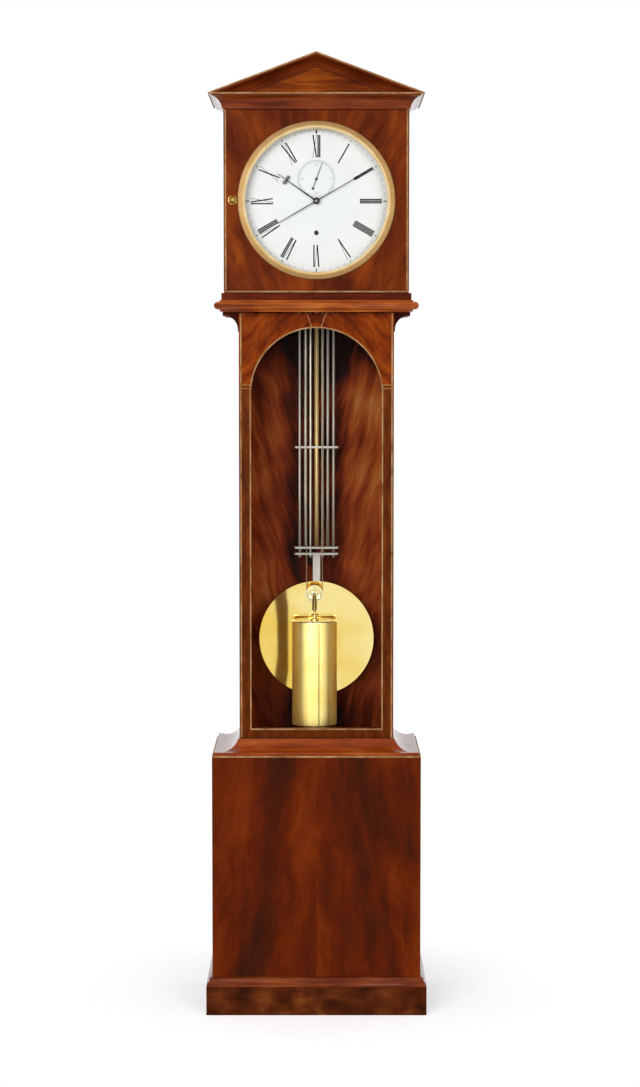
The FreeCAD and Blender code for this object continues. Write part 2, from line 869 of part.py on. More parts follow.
def arbor(place):
    # A shaft between the plates with thinner pivots that run in them
    x, z = place
    shaft = rod_y(x, z, arbor_radius, y_between + end_shake, y_back_plate - end_shake)
    return fused([shaft, rod_y(x, z, pivot_radius, y_front_pivot, y_back_pivot)])


def make_train():
    leaves = driven_pinion(intermediate, barrel, intermediate_leaves, great_module, y_great)
    disc = wheel(intermediate, centre, intermediate_teeth, centre_leaves, intermediate_module, y_intermediate,
                 arbor_radius)
    save("intermediate_wheel", [fused([arbor(intermediate), leaves]), disc])

    leaves = driven_pinion(centre, intermediate, centre_leaves, intermediate_module, y_intermediate)
    through = rod_y(centre[0], centre[1], centre_front_radius, y_minute_hand - 3, y_between + 2)
    disc = wheel(centre, third, centre_teeth, third_leaves, centre_module, y_centre, arbor_radius)
    save("centre_wheel", [fused([arbor(centre), leaves, through]), disc, cannon_pinion()])

    leaves = driven_pinion(third, centre, third_leaves, centre_module, y_centre)
    disc = wheel(third, escape, third_teeth, escape_leaves, third_module, y_third, arbor_radius)
    save("third_wheel", [fused([arbor(third), leaves]), disc])

    leaves = driven_pinion(escape, third, escape_leaves, third_module, y_third)
    through = rod_y(escape[0], escape[1], pivot_radius, y_second_hand - 2, y_between)
    save("escape_wheel", [fused([arbor(escape), leaves, through]), escape_disc()])


def escape_disc():
    # Thin raked teeth on a crossed-out rim
    points = []
    pitch = 2 * math.pi / escape_teeth
    root = escape_radius - escape_tooth_height
    for tooth in range(escape_teeth):
        tip = tooth * pitch
        points += [(root, tip - 0.62 * pitch), (escape_radius, tip - 0.08 * pitch), (escape_radius, tip),
                   (root, tip - 0.22 * pitch)]
    flat = [(r * math.cos(-angle), r * math.sin(-angle)) for r, angle in points]
    y1 = y_escape + wheel_thickness
    window = crossings(escape, y_escape, root - 2.5, arbor_radius + 3, 6, 2.0)
    bore = rod_y(escape[0], escape[1], arbor_radius, y_escape, y1)
    return toothed(escape, flat, y_escape, y1).cut([window, bore])


def cannon_pinion():
    # The pipe that carries the minute hand, gripped by the centre arbor
    x, z = centre
    y_pipe = y_minute_hand - hand_thickness
    y_end = y_cannon + wheel_thickness + 1
    leaves = pinion(centre, minute_stud, cannon_teeth, cannon_module, y_cannon - 1, y_end)
    pipe = fused([leaves, rod_y(x, z, cannon_pipe_radius, y_pipe, y_end)])
    return pipe.cut(rod_y(x, z, centre_front_radius, y_pipe - 1, y_end + 1))


def make_motion_work():
    # Minute wheel on its stud, and the hour wheel round the cannon pinion's pipe
    x, z = minute_stud
    bore = stud_radius + fit
    disc = wheel(minute_stud, centre, minute_teeth, cannon_teeth, cannon_module, y_cannon, bore)
    leaves = pinion(minute_stud, centre, minute_leaves, hour_module, y_hour_wheel - 1, y_cannon)
    leaves = leaves.cut(rod_y(x, z, bore, y_hour_wheel - 2, y_cannon + 1))
    save("minute_wheel", fused([disc, leaves]))

    x, z = centre
    bore = cannon_pipe_radius + fit
    disc = wheel(centre, minute_stud, hour_teeth, minute_leaves, hour_module, y_hour_wheel, bore)
    pipe = rod_y(x, z, hour_pipe_radius, y_hour_hand - hand_thickness, y_hour_wheel + 1)
    pipe = pipe.cut(rod_y(x, z, bore, y_hour_hand - 2, y_hour_wheel + 2))
    save("hour_wheel", fused([disc, pipe]))


def make_great_wheel():
    y_face = y_great + wheel_thickness
    disc = wheel(barrel, intermediate, great_teeth, intermediate_leaves, great_module, y_great,
                 drum_arbor_radius + fit)
    x = barrel[0] + 18.5
    z = barrel[1] + 8.0
    click = plate_y([(x - 6, z + 7), (x + 3, z - 3), (x + 3, z + 3), (x - 4, z + 8)], y_face, y_face + 1.6)
    save("great_wheel", fused([disc, click]))


def ratchet(y0, y1):
    saw = []
    pitch = 2 * math.pi / ratchet_teeth
    for tooth in range(ratchet_teeth):
        saw += [(ratchet_root, tooth * pitch), (ratchet_tip, (tooth + 0.9) * pitch)]
    return toothed(barrel, [(r * math.cos(angle), r * math.sin(angle)) for r, angle in saw], y0, y1)


def make_drum():
    x, z = barrel
    core = drum_line_radius - line_radius - free_gap
    flange = drum_line_radius + 3.5
    y0 = y_line - drum_half_length
    y1 = y_line + drum_half_length
    y_front = y0 - drum_flange
    y_rear = y1 + drum_flange
    body = turned_y([(0, y_front), (flange, y_front), (flange, y0), (core, y0), (core, y1), (flange, y1),
                     (flange, y_rear), (0, y_rear)], x, z)
    click_wheel = ratchet(y_great + wheel_thickness + swing_clearance, y_front)
    shaft = rod_y(x, z, drum_arbor_radius, y_between + end_shake, y0)
    pivots = rod_y(x, z, drum_pivot_radius, y_front_plate - 1, y_back_pivot)
    square = box(x - square_half, x + square_half, y_dial - dial_thickness, y_front_plate, z - square_half,
                 z + square_half)
    save("winding_drum", fused([body, click_wheel, shaft, pivots, square]))


# Weight and line: places

weight_x = drum_line_radius - pulley_line_radius
line_places = (weight_x - pulley_line_radius, weight_x + pulley_line_radius)
z_weight = z_base_top + weight_above_floor
z_weight_top = z_weight + weight_length
z_pulley = z_weight_top + pulley_above_weight


# Movement frame, dial and what carries them

z_plate_low = z_dial - plate_drop
z_plate_high = z_dial + plate_rise
pillar_places = [(side * (plate_half_width - pillar_inset), z) for side in (-1, 1)
                 for z in (z_plate_low + pillar_inset, z_plate_high - pillar_inset)]


def bores(places, radius, y0, y1):
    return [rod_y(x, z, radius, y0, y1) for x, z in places]


def make_front_plate():
    plate = box(-plate_half_width, plate_half_width, y_front_plate, y_between, z_plate_low, z_plate_high)
    span = (y_front_plate - 1, y_between + 1)
    holes = bores(pillar_places, bolt_radius, *span)
    holes += bores([intermediate, third, escape, pallet], pivot_radius + fit, *span)
    holes += bores([centre], centre_front_radius + fit, *span)
    holes += bores([barrel], drum_pivot_radius + fit, *span)
    stud = rod_y(minute_stud[0], minute_stud[1], stud_radius, y_hour_wheel - 2, y_front_plate)
    save("front_plate", fused([plate.cut(holes), stud]))


def make_back_plate():
    plate = box(-plate_half_width, plate_half_width, y_back_plate, y_plate_end, z_plate_low, z_plate_high)
    span = (y_back_plate - 1, y_plate_end + 1)
    holes = bores(pillar_places, bolt_radius, *span)
    holes += bores([intermediate, centre, third, escape], pivot_radius + fit, *span)
    holes += bores([barrel], drum_pivot_radius + fit, *span)
    holes += bores([pallet], arbor_radius + 1, *span)
    hook = rod_y(line_places[0], barrel[1] + hook_radius, hook_radius, y_line - 4, y_back_plate)
    save("back_plate", fused([plate.cut(holes), hook]))


def make_pillars():
    pillars = []
    for x, z in pillar_places:
        post = rod_y(x, z, pillar_radius, y_between, y_back_plate)
        reach = nut_height + bolt_end
        pillars.append(fused([post, rod_y(x, z, bolt_radius, y_front_plate - reach, y_plate_end + reach)]))
    for angle, reach in dial_feet:
        x = reach * math.cos(math.radians(angle))
        z = z_dial + reach * math.sin(math.radians(angle))
        pillars.append(rod_y(x, z, dial_foot_radius, y_dial + dial_thickness, y_front_plate))
    save("plate_pillars", pillars)


def pillar_nuts():
    nuts = []
    for x, z in pillar_places:
        for y0 in (y_front_plate - nut_height, y_plate_end):
            nut = rod_y(x, z, pillar_radius, y0, y0 + nut_height)
            nuts.append(nut.cut(rod_y(x, z, bolt_radius, y0 - 1, y0 + nut_height + 1)))
    return nuts


def make_bracket():
    # Two pairs of arms reach from a plate on the backboard to the back of the movement
    y_flange = y_board - bracket_flange
    arm = bracket_arm_width
    arm_x = bridge_half_width + bracket_clearance
    screw_x = arm_x + arm + 2 * screw_head_radius
    half_width = screw_x + 2 * screw_head_radius
    z_low = z_dial - bracket_low
    z_high = z_dial + bracket_high
    plate = box(-half_width, half_width, y_flange, y_board, z_low, z_high)
    pieces = [plate.cut(box(-arm_x, arm_x, y_flange - 1, y_board + 1, z_low - 1, z_high - 2 * arm))]
    screws = pillar_nuts()
    for z in (z_low + arm, z_high - arm):
        pieces += both(box(arm_x, arm_x + arm, y_plate_end, y_flange, z - arm, z + arm))
        screws += both(rod_y(screw_x, z, screw_head_radius, y_flange - screw_head_height, y_flange))
    save("movement_bracket", fused(pieces))
    save("movement_screws", screws)


def pallet_cock():
    # Carries the back pivot of the pallet arbor
    z0 = pallet[1] - cock_half_height
    z1 = pallet[1] + cock_half_height
    y1 = y_cock + cock_thickness
    half = cock_leg / 2
    bridge = box(-cock_half_width, cock_half_width, y_cock, y1, z0, z1)
    legs = both(box(cock_half_width - half, cock_half_width + half, y_plate_end, y1, z0, z1))
    return fused([bridge] + legs).cut(rod_y(pallet[0], pallet[1], pivot_radius + fit, y_cock - 1, y1 + 1))


def suspension_cock():
    # Hangs the pendulum from the backboard
    z_pin = pallet[1]
    y_cheek = y_pendulum - cheek_gap - cheek_thickness
    arm = box(-12, 12, y_cheek, y_board, z_pin + 10, z_pin + 19)
    plate = box(-28, 28, y_board - 7, y_board, z_pin - 20, z_pin + 30)
    cheeks = []
    for y0 in (y_cheek, y_pendulum + cheek_gap):
        y1 = y0 + cheek_thickness
        block = box(-9, 9, y0, y1, z_pin - 8, z_pin + 11)
        cheeks.append(block.cut(rod_y(0, z_pin, suspension_pin_radius + fit, y0 - 1, y1 + 1)))
    return fused([arm, plate] + cheeks)


def make_dial():
    disc = rod_y(0, z_dial, dial_radius, y_dial, y_dial + dial_thickness)
    span = (y_dial - 1, y_dial + dial_thickness + 1)
    holes = bores([centre], hour_pipe_radius + free_gap, *span)
    holes += bores([escape], pivot_radius + free_gap, *span)
    holes += bores([barrel], winding_hole_radius, *span)
    save("dial_plate", disc.cut(holes))


# Hands

def hand_plate(half_outline, place, y0):
    # Half outline as (half width, distance from the axis), from the tail to the tip
    right = [(place[0] + half, place[1] + reach) for half, reach in half_outline]
    left = [(place[0] - half, place[1] + reach) for half, reach in reversed(half_outline)]
    return plate_y(right + left, y0 - hand_thickness, y0)


def make_hour_hand():
    x, z = centre
    y0 = y_hour_hand - hand_thickness
    length = hour_hand_share * dial_radius
    z_rings = z + 0.77 * length
    bar = hand_plate([(1.5, 0), (0.9, 0.67 * length), (0.5, length)], centre, y_hour_hand)
    boss = rod_y(x, z, 6.5, y0, y_hour_hand)
    cross = box(x - 8, x + 8, y0, y_hour_hand, z_rings - 1, z_rings + 1)
    ring = rod_y(x + 6, z_rings, 4.2, y0, y_hour_hand).cut(rod_y(x + 6, z_rings, 2.9, y0, y_hour_hand))
    hand = fused([bar, boss, cross] + both(ring)).cut(rod_y(x, z, hour_pipe_radius, y0 - 1, y_hour_hand + 1))
    save("hour_hand", turned(hand, hour_angle, x, z))


def make_minute_hand():
    x, z = centre
    tail = -minute_tail_share * dial_radius
    tip = minute_hand_share * dial_radius
    bar = hand_plate([(0.8, tail), (1.0, 0), (0.6, tip)], centre, y_minute_hand)
    radius = 7.0
    y_rim = y_minute_hand - 2.2
    y_pole = y_minute_hand - 5.0
    boss = turned_y([(0, y_minute_hand), (radius, y_minute_hand), (radius, y_rim),
                     (dome_middle(radius, y_rim, y_pole), (0, y_pole))], x, z)
    hand = fused([bar, boss])
    hand = hand.cut([rod_y(x, z, cannon_pipe_radius, y_minute_hand - hand_thickness, y_minute_hand + 1),
                     rod_y(x, z, centre_front_radius, y_minute_hand - 3, y_minute_hand + 1)])
    save("minute_hand", turned(hand, minute_angle, x, z))


def make_seconds_hand():
    x, z = escape
    y0 = y_second_hand - hand_thickness
    bar = hand_plate([(0.6, -second_tail_length), (0.7, 0), (0.3, second_hand_length)], escape, y_second_hand)
    poise = rod_y(x, z - second_tail_length + 3, 2.4, y0, y_second_hand)
    boss = rod_y(x, z, 2.6, y0, y_second_hand)
    hand = fused([bar, poise, boss]).cut(rod_y(x, z, pivot_radius, y0 - 1, y_second_hand + 1))
    save("seconds_hand", turned(hand, second_angle, x, z))


# Pallets and crutch

def pallet_anchor():
    # The pallets stand clear of the escape wheel's teeth
    z = pallet[1]
    y0 = y_escape - 1
    y1 = y_escape + wheel_thickness + 1
    tip = escape_radius + pallet_clearance
    nib_x = tip * math.sin(math.radians(pallet_spread))
    nib_z = tip * math.cos(math.radians(pallet_spread)) - pallet_above_escape
    arm = plate_y([(0, z - 4), (nib_x - 1, z + nib_z + 4), (nib_x, z + nib_z), (nib_x + 4, z + nib_z + 2.5),
                   (nib_x + 3, z + nib_z + 9), (0, z + 5)], y0, y1)
    hub = rod_y(0, z, hub_radius, y0, y1)
    shaft = rod_y(0, z, arbor_radius, y_between + end_shake, y_cock - pivot_short)
    pivots = rod_y(0, z, pivot_radius, y_front_pivot, y_crutch + crutch_thickness)
    return fused(both(arm) + [hub, shaft, pivots])


def crutch():
    # A thin bar from the pallet arbor down to a fork round the pendulum's top rod
    z = pallet[1]
    z0 = z - crutch_drop - 3
    z1 = z - crutch_drop + 3
    y1 = y_crutch + crutch_thickness
    inner = gridiron_centre_radius + free_gap
    outer = inner + crutch_prong
    bar = box(-1.5, 1.5, y_crutch + 1, y1 - 1, z0, z)
    hub = rod_y(0, z, hub_radius, y_crutch, y1)
    yoke = box(-outer, outer, y_crutch, y1, z0, z1)
    prongs = both(box(inner, outer, y_crutch, y_pendulum + 6, z0, z1))
    return fused([bar, hub, yoke] + prongs).cut(rod_y(0, z, pivot_radius, y_crutch - 1, y1 + 1))


# Pendulum

z_chop = pallet[1] - chop_drop
z_top_bridge = pallet[1] - gridiron_top_drop
z_second_bridge = pallet[1] - gridiron_second_drop
z_guide_bridge = pallet[1] - gridiron_guide_drop
z_bottom_bridge = pallet[1] - gridiron_bottom_drop
z_foot_bridge = pallet[1] - gridiron_foot_drop
z_bob = pallet[1] - bob_drop
z_bob_low = z_bob - bob_radius
z_thread = z_bob_low + rating_thread_top
half_bridge = bridge_height / 2
inner_rod, middle_rod, outer_rod = gridiron_offsets


def make_suspension():
    z = pallet[1]
    y = y_pendulum
    pin = rod_y(0, z, suspension_pin_radius, y - suspension_pin_reach, y + suspension_pin_reach)
    upper = box(-4, 4, y - 4, y + 4, z - 7, z + 6)
    strip = box(-spring_half_thickness, spring_half_thickness, y - 4, y + 4, z_chop + chop_height - 2, z - 6)
    lower = box(-6, 6, y - 5, y + 5, z_chop, z_chop + chop_height)
    save("suspension_spring", fused([pin, upper, strip, lower]))


def make_rods():
    z_low = z_foot_bridge - half_bridge - rod_end
    z_high = z_top_bridge + half_bridge
    steel = [rod_z(0, y_pendulum, gridiron_centre_radius, z_high, z_chop)]
    for x in (outer_rod, inner_rod):
        steel += both(rod_z(x, y_pendulum, gridiron_rod_radius, z_low, z_high + rod_end))
    save("gridiron_steel_rods", steel)

    core = rod_z(0, y_pendulum, gridiron_centre_radius, z_bottom_bridge + half_bridge, z_second_bridge)
    pair = both(rod_z(middle_rod, y_pendulum, gridiron_rod_radius, z_bottom_bridge, z_second_bridge))
    save("gridiron_brass_rods", [core] + pair)


def bridge_at(z, seats):
    # A seat is (x, radius, z0, z1), the part of the bridge's height that a rod takes
    y0 = y_pendulum - bridge_half_depth
    y1 = y_pendulum + bridge_half_depth
    block = box(-bridge_half_width, bridge_half_width, y0, y1, z - half_bridge, z + half_bridge)
    return block.cut([rod_z(x, y_pendulum, radius, z0, z1) for x, radius, z0, z1 in seats])


def seats_at(places, radius, z0, z1):
    return [(side * x, radius, z0, z1) for x in places for side in (-1, 1)]


def make_bridges():
    bridges = []
    for z in (z_top_bridge, z_second_bridge, z_guide_bridge, z_bottom_bridge, z_foot_bridge):
        low = z - bridge_height
        high = z + bridge_height
        seats = seats_at((outer_rod, inner_rod), gridiron_rod_radius, low, high)
        if z == z_second_bridge:
            seats += seats_at((middle_rod,), gridiron_rod_radius, low, z)
            seats.append((0, gridiron_centre_radius, low, z))
        if z == z_guide_bridge:
            seats += seats_at((middle_rod,), gridiron_rod_radius + sliding_gap, low, high)
            seats.append((0, gridiron_centre_radius + sliding_gap, low, high))
        if z == z_bottom_bridge:
            seats += seats_at((middle_rod,), gridiron_rod_radius, z, high)
        bridges.append(bridge_at(z, seats))
    save("gridiron_bridges", bridges)


def make_stem():
    y = y_pendulum
    z_end = z_bob_low - free_gap - rating_nut_height - rating_thread_end
    stem = box(-stem_half_width, stem_half_width, y - stem_half_depth, y + stem_half_depth, z_thread,
               z_foot_bridge - half_bridge)
    save("pendulum_stem", fused([stem, rod_z(0, y, rating_thread_radius, z_end, z_thread)]))


def make_bob():
    y = y_pendulum
    front_rim = y - bob_rim_half
    back_rim = y + bob_rim_half
    front_pole = y - bob_half_thickness
    back_pole = y + bob_half_thickness
    front_arc = dome_middle(bob_radius, front_rim, front_pole)
    back_arc = dome_middle(bob_radius, back_rim, back_pole)
    steps = [(0, front_pole), (front_arc, (bob_radius, front_rim)), (bob_radius, back_rim),
             (back_arc, (0, back_pole))]
    lens = turned_y(steps, 0, z_bob)
    half_width = stem_half_width + sliding_gap
    half_depth = stem_half_depth + sliding_gap
    z_slot = z_thread - rating_travel - sliding_gap
    slot = box(-half_width, half_width, y - half_depth, y + half_depth, z_slot, z_bob + bob_radius + 1)
    bore = rod_z(0, y, rating_thread_radius + free_gap, z_bob_low - 5, z_thread)
    save("pendulum_bob", lens.cut([slot, bore]))


def make_rating_nut():
    y = y_pendulum
    z1 = z_bob_low - free_gap
    z0 = z1 - rating_nut_height
    r = rating_nut_radius
    bore = rating_thread_radius + fit
    nut = turned_z([(bore, z0), (r - 1, z0), (r, z0 + 1), (r, z1 - 1), (r - 1, z1), (bore, z1)], 0, y)
    flutes = []
    for index in range(rating_nut_flutes):
        flute = rod_z(r + 0.6, y, 1.2, z0 - 1, z1 + 1)
        flute.rotate(vec(0, y, 0), vec(0, 0, 1), 360.0 * index / rating_nut_flutes)
        flutes.append(flute)
    save("rating_nut", nut.cut(flutes))


# Weight, pulley and line

def make_weight():
    r = weight_radius
    edge = weight_edge
    z0 = z_weight
    z1 = z_weight_top
    nick = 0.3 * edge
    steps = [(0, z0), (r - edge, z0), ((r - nick, z0 + nick), (r, z0 + edge)), (r, z1 - edge),
             ((r - nick, z1 - nick), (r - edge, z1)), (0, z1)]
    save("weight_body", turned_z(steps, weight_x, y_line))


def make_pulley():
    bore = pulley_axle_radius + fit
    outer = pulley_line_radius + pulley_rim
    groove = pulley_line_radius - line_radius - free_gap
    y0 = y_line - pulley_half_width
    y1 = y_line + pulley_half_width
    rim = 1.2
    hub = pulley_hub_radius
    face = outer - pulley_face_width
    y_front_web = y0 + pulley_recess
    y_back_web = y1 - pulley_recess
    steps = [(bore, y0), (hub, y0), (hub + 1, y_front_web), (face - 1, y_front_web), (face, y0), (outer, y0),
             (outer, y0 + rim), (groove, y_line - 0.8), (groove, y_line + 0.8), (outer, y1 - rim),
             (outer, y1), (face, y1), (face - 1, y_back_web), (hub + 1, y_back_web), (hub, y1), (bore, y1)]
    save("pulley_wheel", turned_y(steps, weight_x, z_pulley))


def make_stirrup():
    x0 = weight_x - stirrup_half_width
    x1 = weight_x + stirrup_half_width
    inner = pulley_half_width + free_gap
    outer = inner + stirrup_cheek
    z_cross = z_pulley - pulley_line_radius - pulley_rim - stirrup_below_pulley
    cheeks = [box(x0, x1, y0, y0 + stirrup_cheek, z_cross, z_pulley + 6)
              for y0 in (y_line - outer, y_line + inner)]
    cross = box(x0, x1, y_line - outer, y_line + outer, z_cross - 5, z_cross)
    pin = rod_y(weight_x, z_pulley, pulley_axle_radius, y_line - outer - 1, y_line + outer + 1)
    z = z_weight_top
    neck = rod_z(weight_x, y_line, 3.0, z + 3, z_cross)
    collar = turned_z([(0, z), (11, z), (11, z + 2), (5, z + 5), (0, z + 5)], weight_x, y_line)
    save("pulley_stirrup", fused(cheeks + [cross, pin, neck, collar]))


def make_line():
    # Two straight runs down from the hook and the drum, and the half turn under the pulley
    save("weight_line", [rod_z(x, y_line, line_radius, z_pulley, barrel[1]) for x in line_places])
    circle = Part.makeCircle(line_radius, vec(line_places[0], y_line, z_pulley), vec(0, 0, 1))
    loop = Part.Face(Part.Wire(circle)).revolve(vec(weight_x, y_line, z_pulley), vec(0, -1, 0), 180)
    save("line_pulley_loop", loop)


# The whole clock

def make_case():
    make_plinth()
    make_base()
    make_trunk()
    make_shelf()
    make_hood()
    make_cornice()
    make_pediment()
    save("case_stringing", base_string() + cornice_string() + both(rake_string()))
    trunk_hinge = case_hinge(half_trunk, y_trunk, z_trunk, z_shelf)
    save("case_hinge_pins", trunk_hinge + case_hinge(half_hood, y_hood, z_hood, z_cornice))
    make_trunk_door()
    make_hood_door()
    make_bezel()
    make_knob()


def make_movement():
    make_train()
    make_motion_work()
    make_great_wheel()
    make_drum()
    make_front_plate()
    make_back_plate()
    make_pillars()
    make_bracket()
    save("movement_cocks", [pallet_cock(), suspension_cock()])
    make_dial()
    make_hour_hand()
    make_minute_hand()
    make_seconds_hand()


def make_pendulum():
    save("pallet_anchor", [pallet_anchor(), crutch()])
    make_suspension()
    make_rods()
    make_bridges()
    make_stem()
    make_bob()
    make_rating_nut()


make_case()
make_movement()
make_pendulum()
make_weight()
make_pulley()
make_stirrup()
make_line()
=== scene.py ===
import json
import math
import bmesh
import bpy
from mathutils import Matrix, Vector


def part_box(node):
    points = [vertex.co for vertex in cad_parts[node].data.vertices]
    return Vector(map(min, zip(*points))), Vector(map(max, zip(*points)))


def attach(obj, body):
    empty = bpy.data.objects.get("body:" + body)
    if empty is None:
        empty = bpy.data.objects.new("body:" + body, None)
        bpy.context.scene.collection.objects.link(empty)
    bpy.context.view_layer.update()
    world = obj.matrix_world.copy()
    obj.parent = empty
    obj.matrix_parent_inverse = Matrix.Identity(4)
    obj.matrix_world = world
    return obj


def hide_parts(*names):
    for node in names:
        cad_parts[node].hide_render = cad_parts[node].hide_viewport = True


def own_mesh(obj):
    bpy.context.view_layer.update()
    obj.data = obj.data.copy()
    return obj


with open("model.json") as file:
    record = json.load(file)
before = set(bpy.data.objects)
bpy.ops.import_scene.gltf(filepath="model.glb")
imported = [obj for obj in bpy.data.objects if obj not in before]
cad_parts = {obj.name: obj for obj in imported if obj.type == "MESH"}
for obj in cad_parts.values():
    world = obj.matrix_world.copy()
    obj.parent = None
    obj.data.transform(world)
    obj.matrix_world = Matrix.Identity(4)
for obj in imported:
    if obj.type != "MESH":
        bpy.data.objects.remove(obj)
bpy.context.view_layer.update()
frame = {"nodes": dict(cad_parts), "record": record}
scene = bpy.context.scene
scene.view_settings.view_transform = "Standard"
bodyOf = {node: body for body, nodes in frame["record"]["behaviour"]["bodies"].items() for node in nodes}
slotOf = {part["node"]: part["material_slot"] for part in frame["record"]["subparts"]}
jointAt = {joint["name"]: joint.get("pos_m") for joint in frame["record"]["behaviour"]["joints"]}  # metres
print("frame loaded with", len(frame["nodes"]), "nodes")


def hexLinear(code):
    channels = [int(code[i:i + 2], 16) / 255 for i in (1, 3, 5)]
    return [c / 12.92 if c <= 0.04045 else ((c + 0.055) / 1.055) ** 2.4 for c in channels] + [1.0]


tonePlaces = {2: (0.30, 0.70), 5: (0.30, 0.44, 0.56, 0.68, 0.80)}  # the span that a noise mostly takes


def tones(*codes):
    return list(zip(tonePlaces[len(codes)], codes))


def addNode(tree, kind, inputs=None, stops=None, **settings):
    node = tree.nodes.new(kind)
    for key, value in settings.items():
        setattr(node, key, value)
    for key, value in (inputs or {}).items():
        if isinstance(value, bpy.types.NodeSocket):
            tree.links.new(value, node.inputs[key])
        else:
            node.inputs[key].default_value = value
    for index, (place, code) in enumerate(stops or []):
        ramp = node.color_ramp.elements
        stop = ramp[index] if index < 2 else ramp.new(place)
        stop.position = place
        stop.color = hexLinear(code)
    return node


def newMaterial(name):
    material = bpy.data.materials.new(name)
    material.use_nodes = True
    tree = material.node_tree
    shader = tree.nodes["Principled BSDF"]
    place = addNode(tree, "ShaderNodeTexCoord").outputs["Object"]
    return material, tree, shader, place


def setShader(shader, **values):
    for key, value in values.items():
        shader.inputs[key.replace("_", " ")].default_value = value


def newObject(name, data):
    holder = bpy.data.objects.new(name, data)
    scene.collection.objects.link(holder)
    return holder


# wood: what all the timbers share; real pores are too fine to show, so poreMm draws them coarser
woodWork = {
    "wander": {"Detail": 2.0}, "flame": {"Detail": 4.0, "Roughness": 0.55, "Distortion": 0.5},
    "cloud": {"Detail": 1.0}, "streak": {"Detail": 3.0}, "streakAlong": 0.12,
    "pores": {"Detail": 2.0, "Roughness": 0.6}, "poreSpan": (0.38, 0.62), "poreDepth": 0.16,
    "poreLight": 1.08, "bump": {"Strength": 0.12, "Distance": 0.0004},
    "rough": 0.34, "glossSpan": (0.35, 0.65), "glossLoss": 0.1,
    "specular": 0.03, "polish": {"IOR": 1.5, "Coat_Roughness": 0.06, "Coat_IOR": 1.15}}


def fanned(tree, vector, fan):
    # streaks that lean away from upright
    turn = (0.0, math.radians(fan["lean"]), 0.0)
    leant = addNode(tree, "ShaderNodeMapping", {"Vector": vector, "Rotation": turn}).outputs[0]
    stretch = (1, 1, fan.get("along", woodWork["streakAlong"]))
    drawn = addNode(tree, "ShaderNodeVectorMath", {0: leant, 1: stretch}, operation="MULTIPLY").outputs[0]
    streak = {"Vector": drawn, "Scale": 1000 / fan["mm"], **woodWork["streak"]}
    return addNode(tree, "ShaderNodeTexNoise", streak).outputs["Fac"]


def darkened(tree, tone, place, dark, plain, depth):
    # takes depth off the tone where place reads dark, and nothing where it reads plain
    fade = {"Value": place, "From Min": dark, "From Max": plain, "To Min": depth, "To Max": 0.0}
    loss = addNode(tree, "ShaderNodeMapRange", fade, interpolation_type="SMOOTHSTEP").outputs[0]
    return addNode(tree, "ShaderNodeMath", {0: tone, 1: loss}, operation="SUBTRACT").outputs[0]


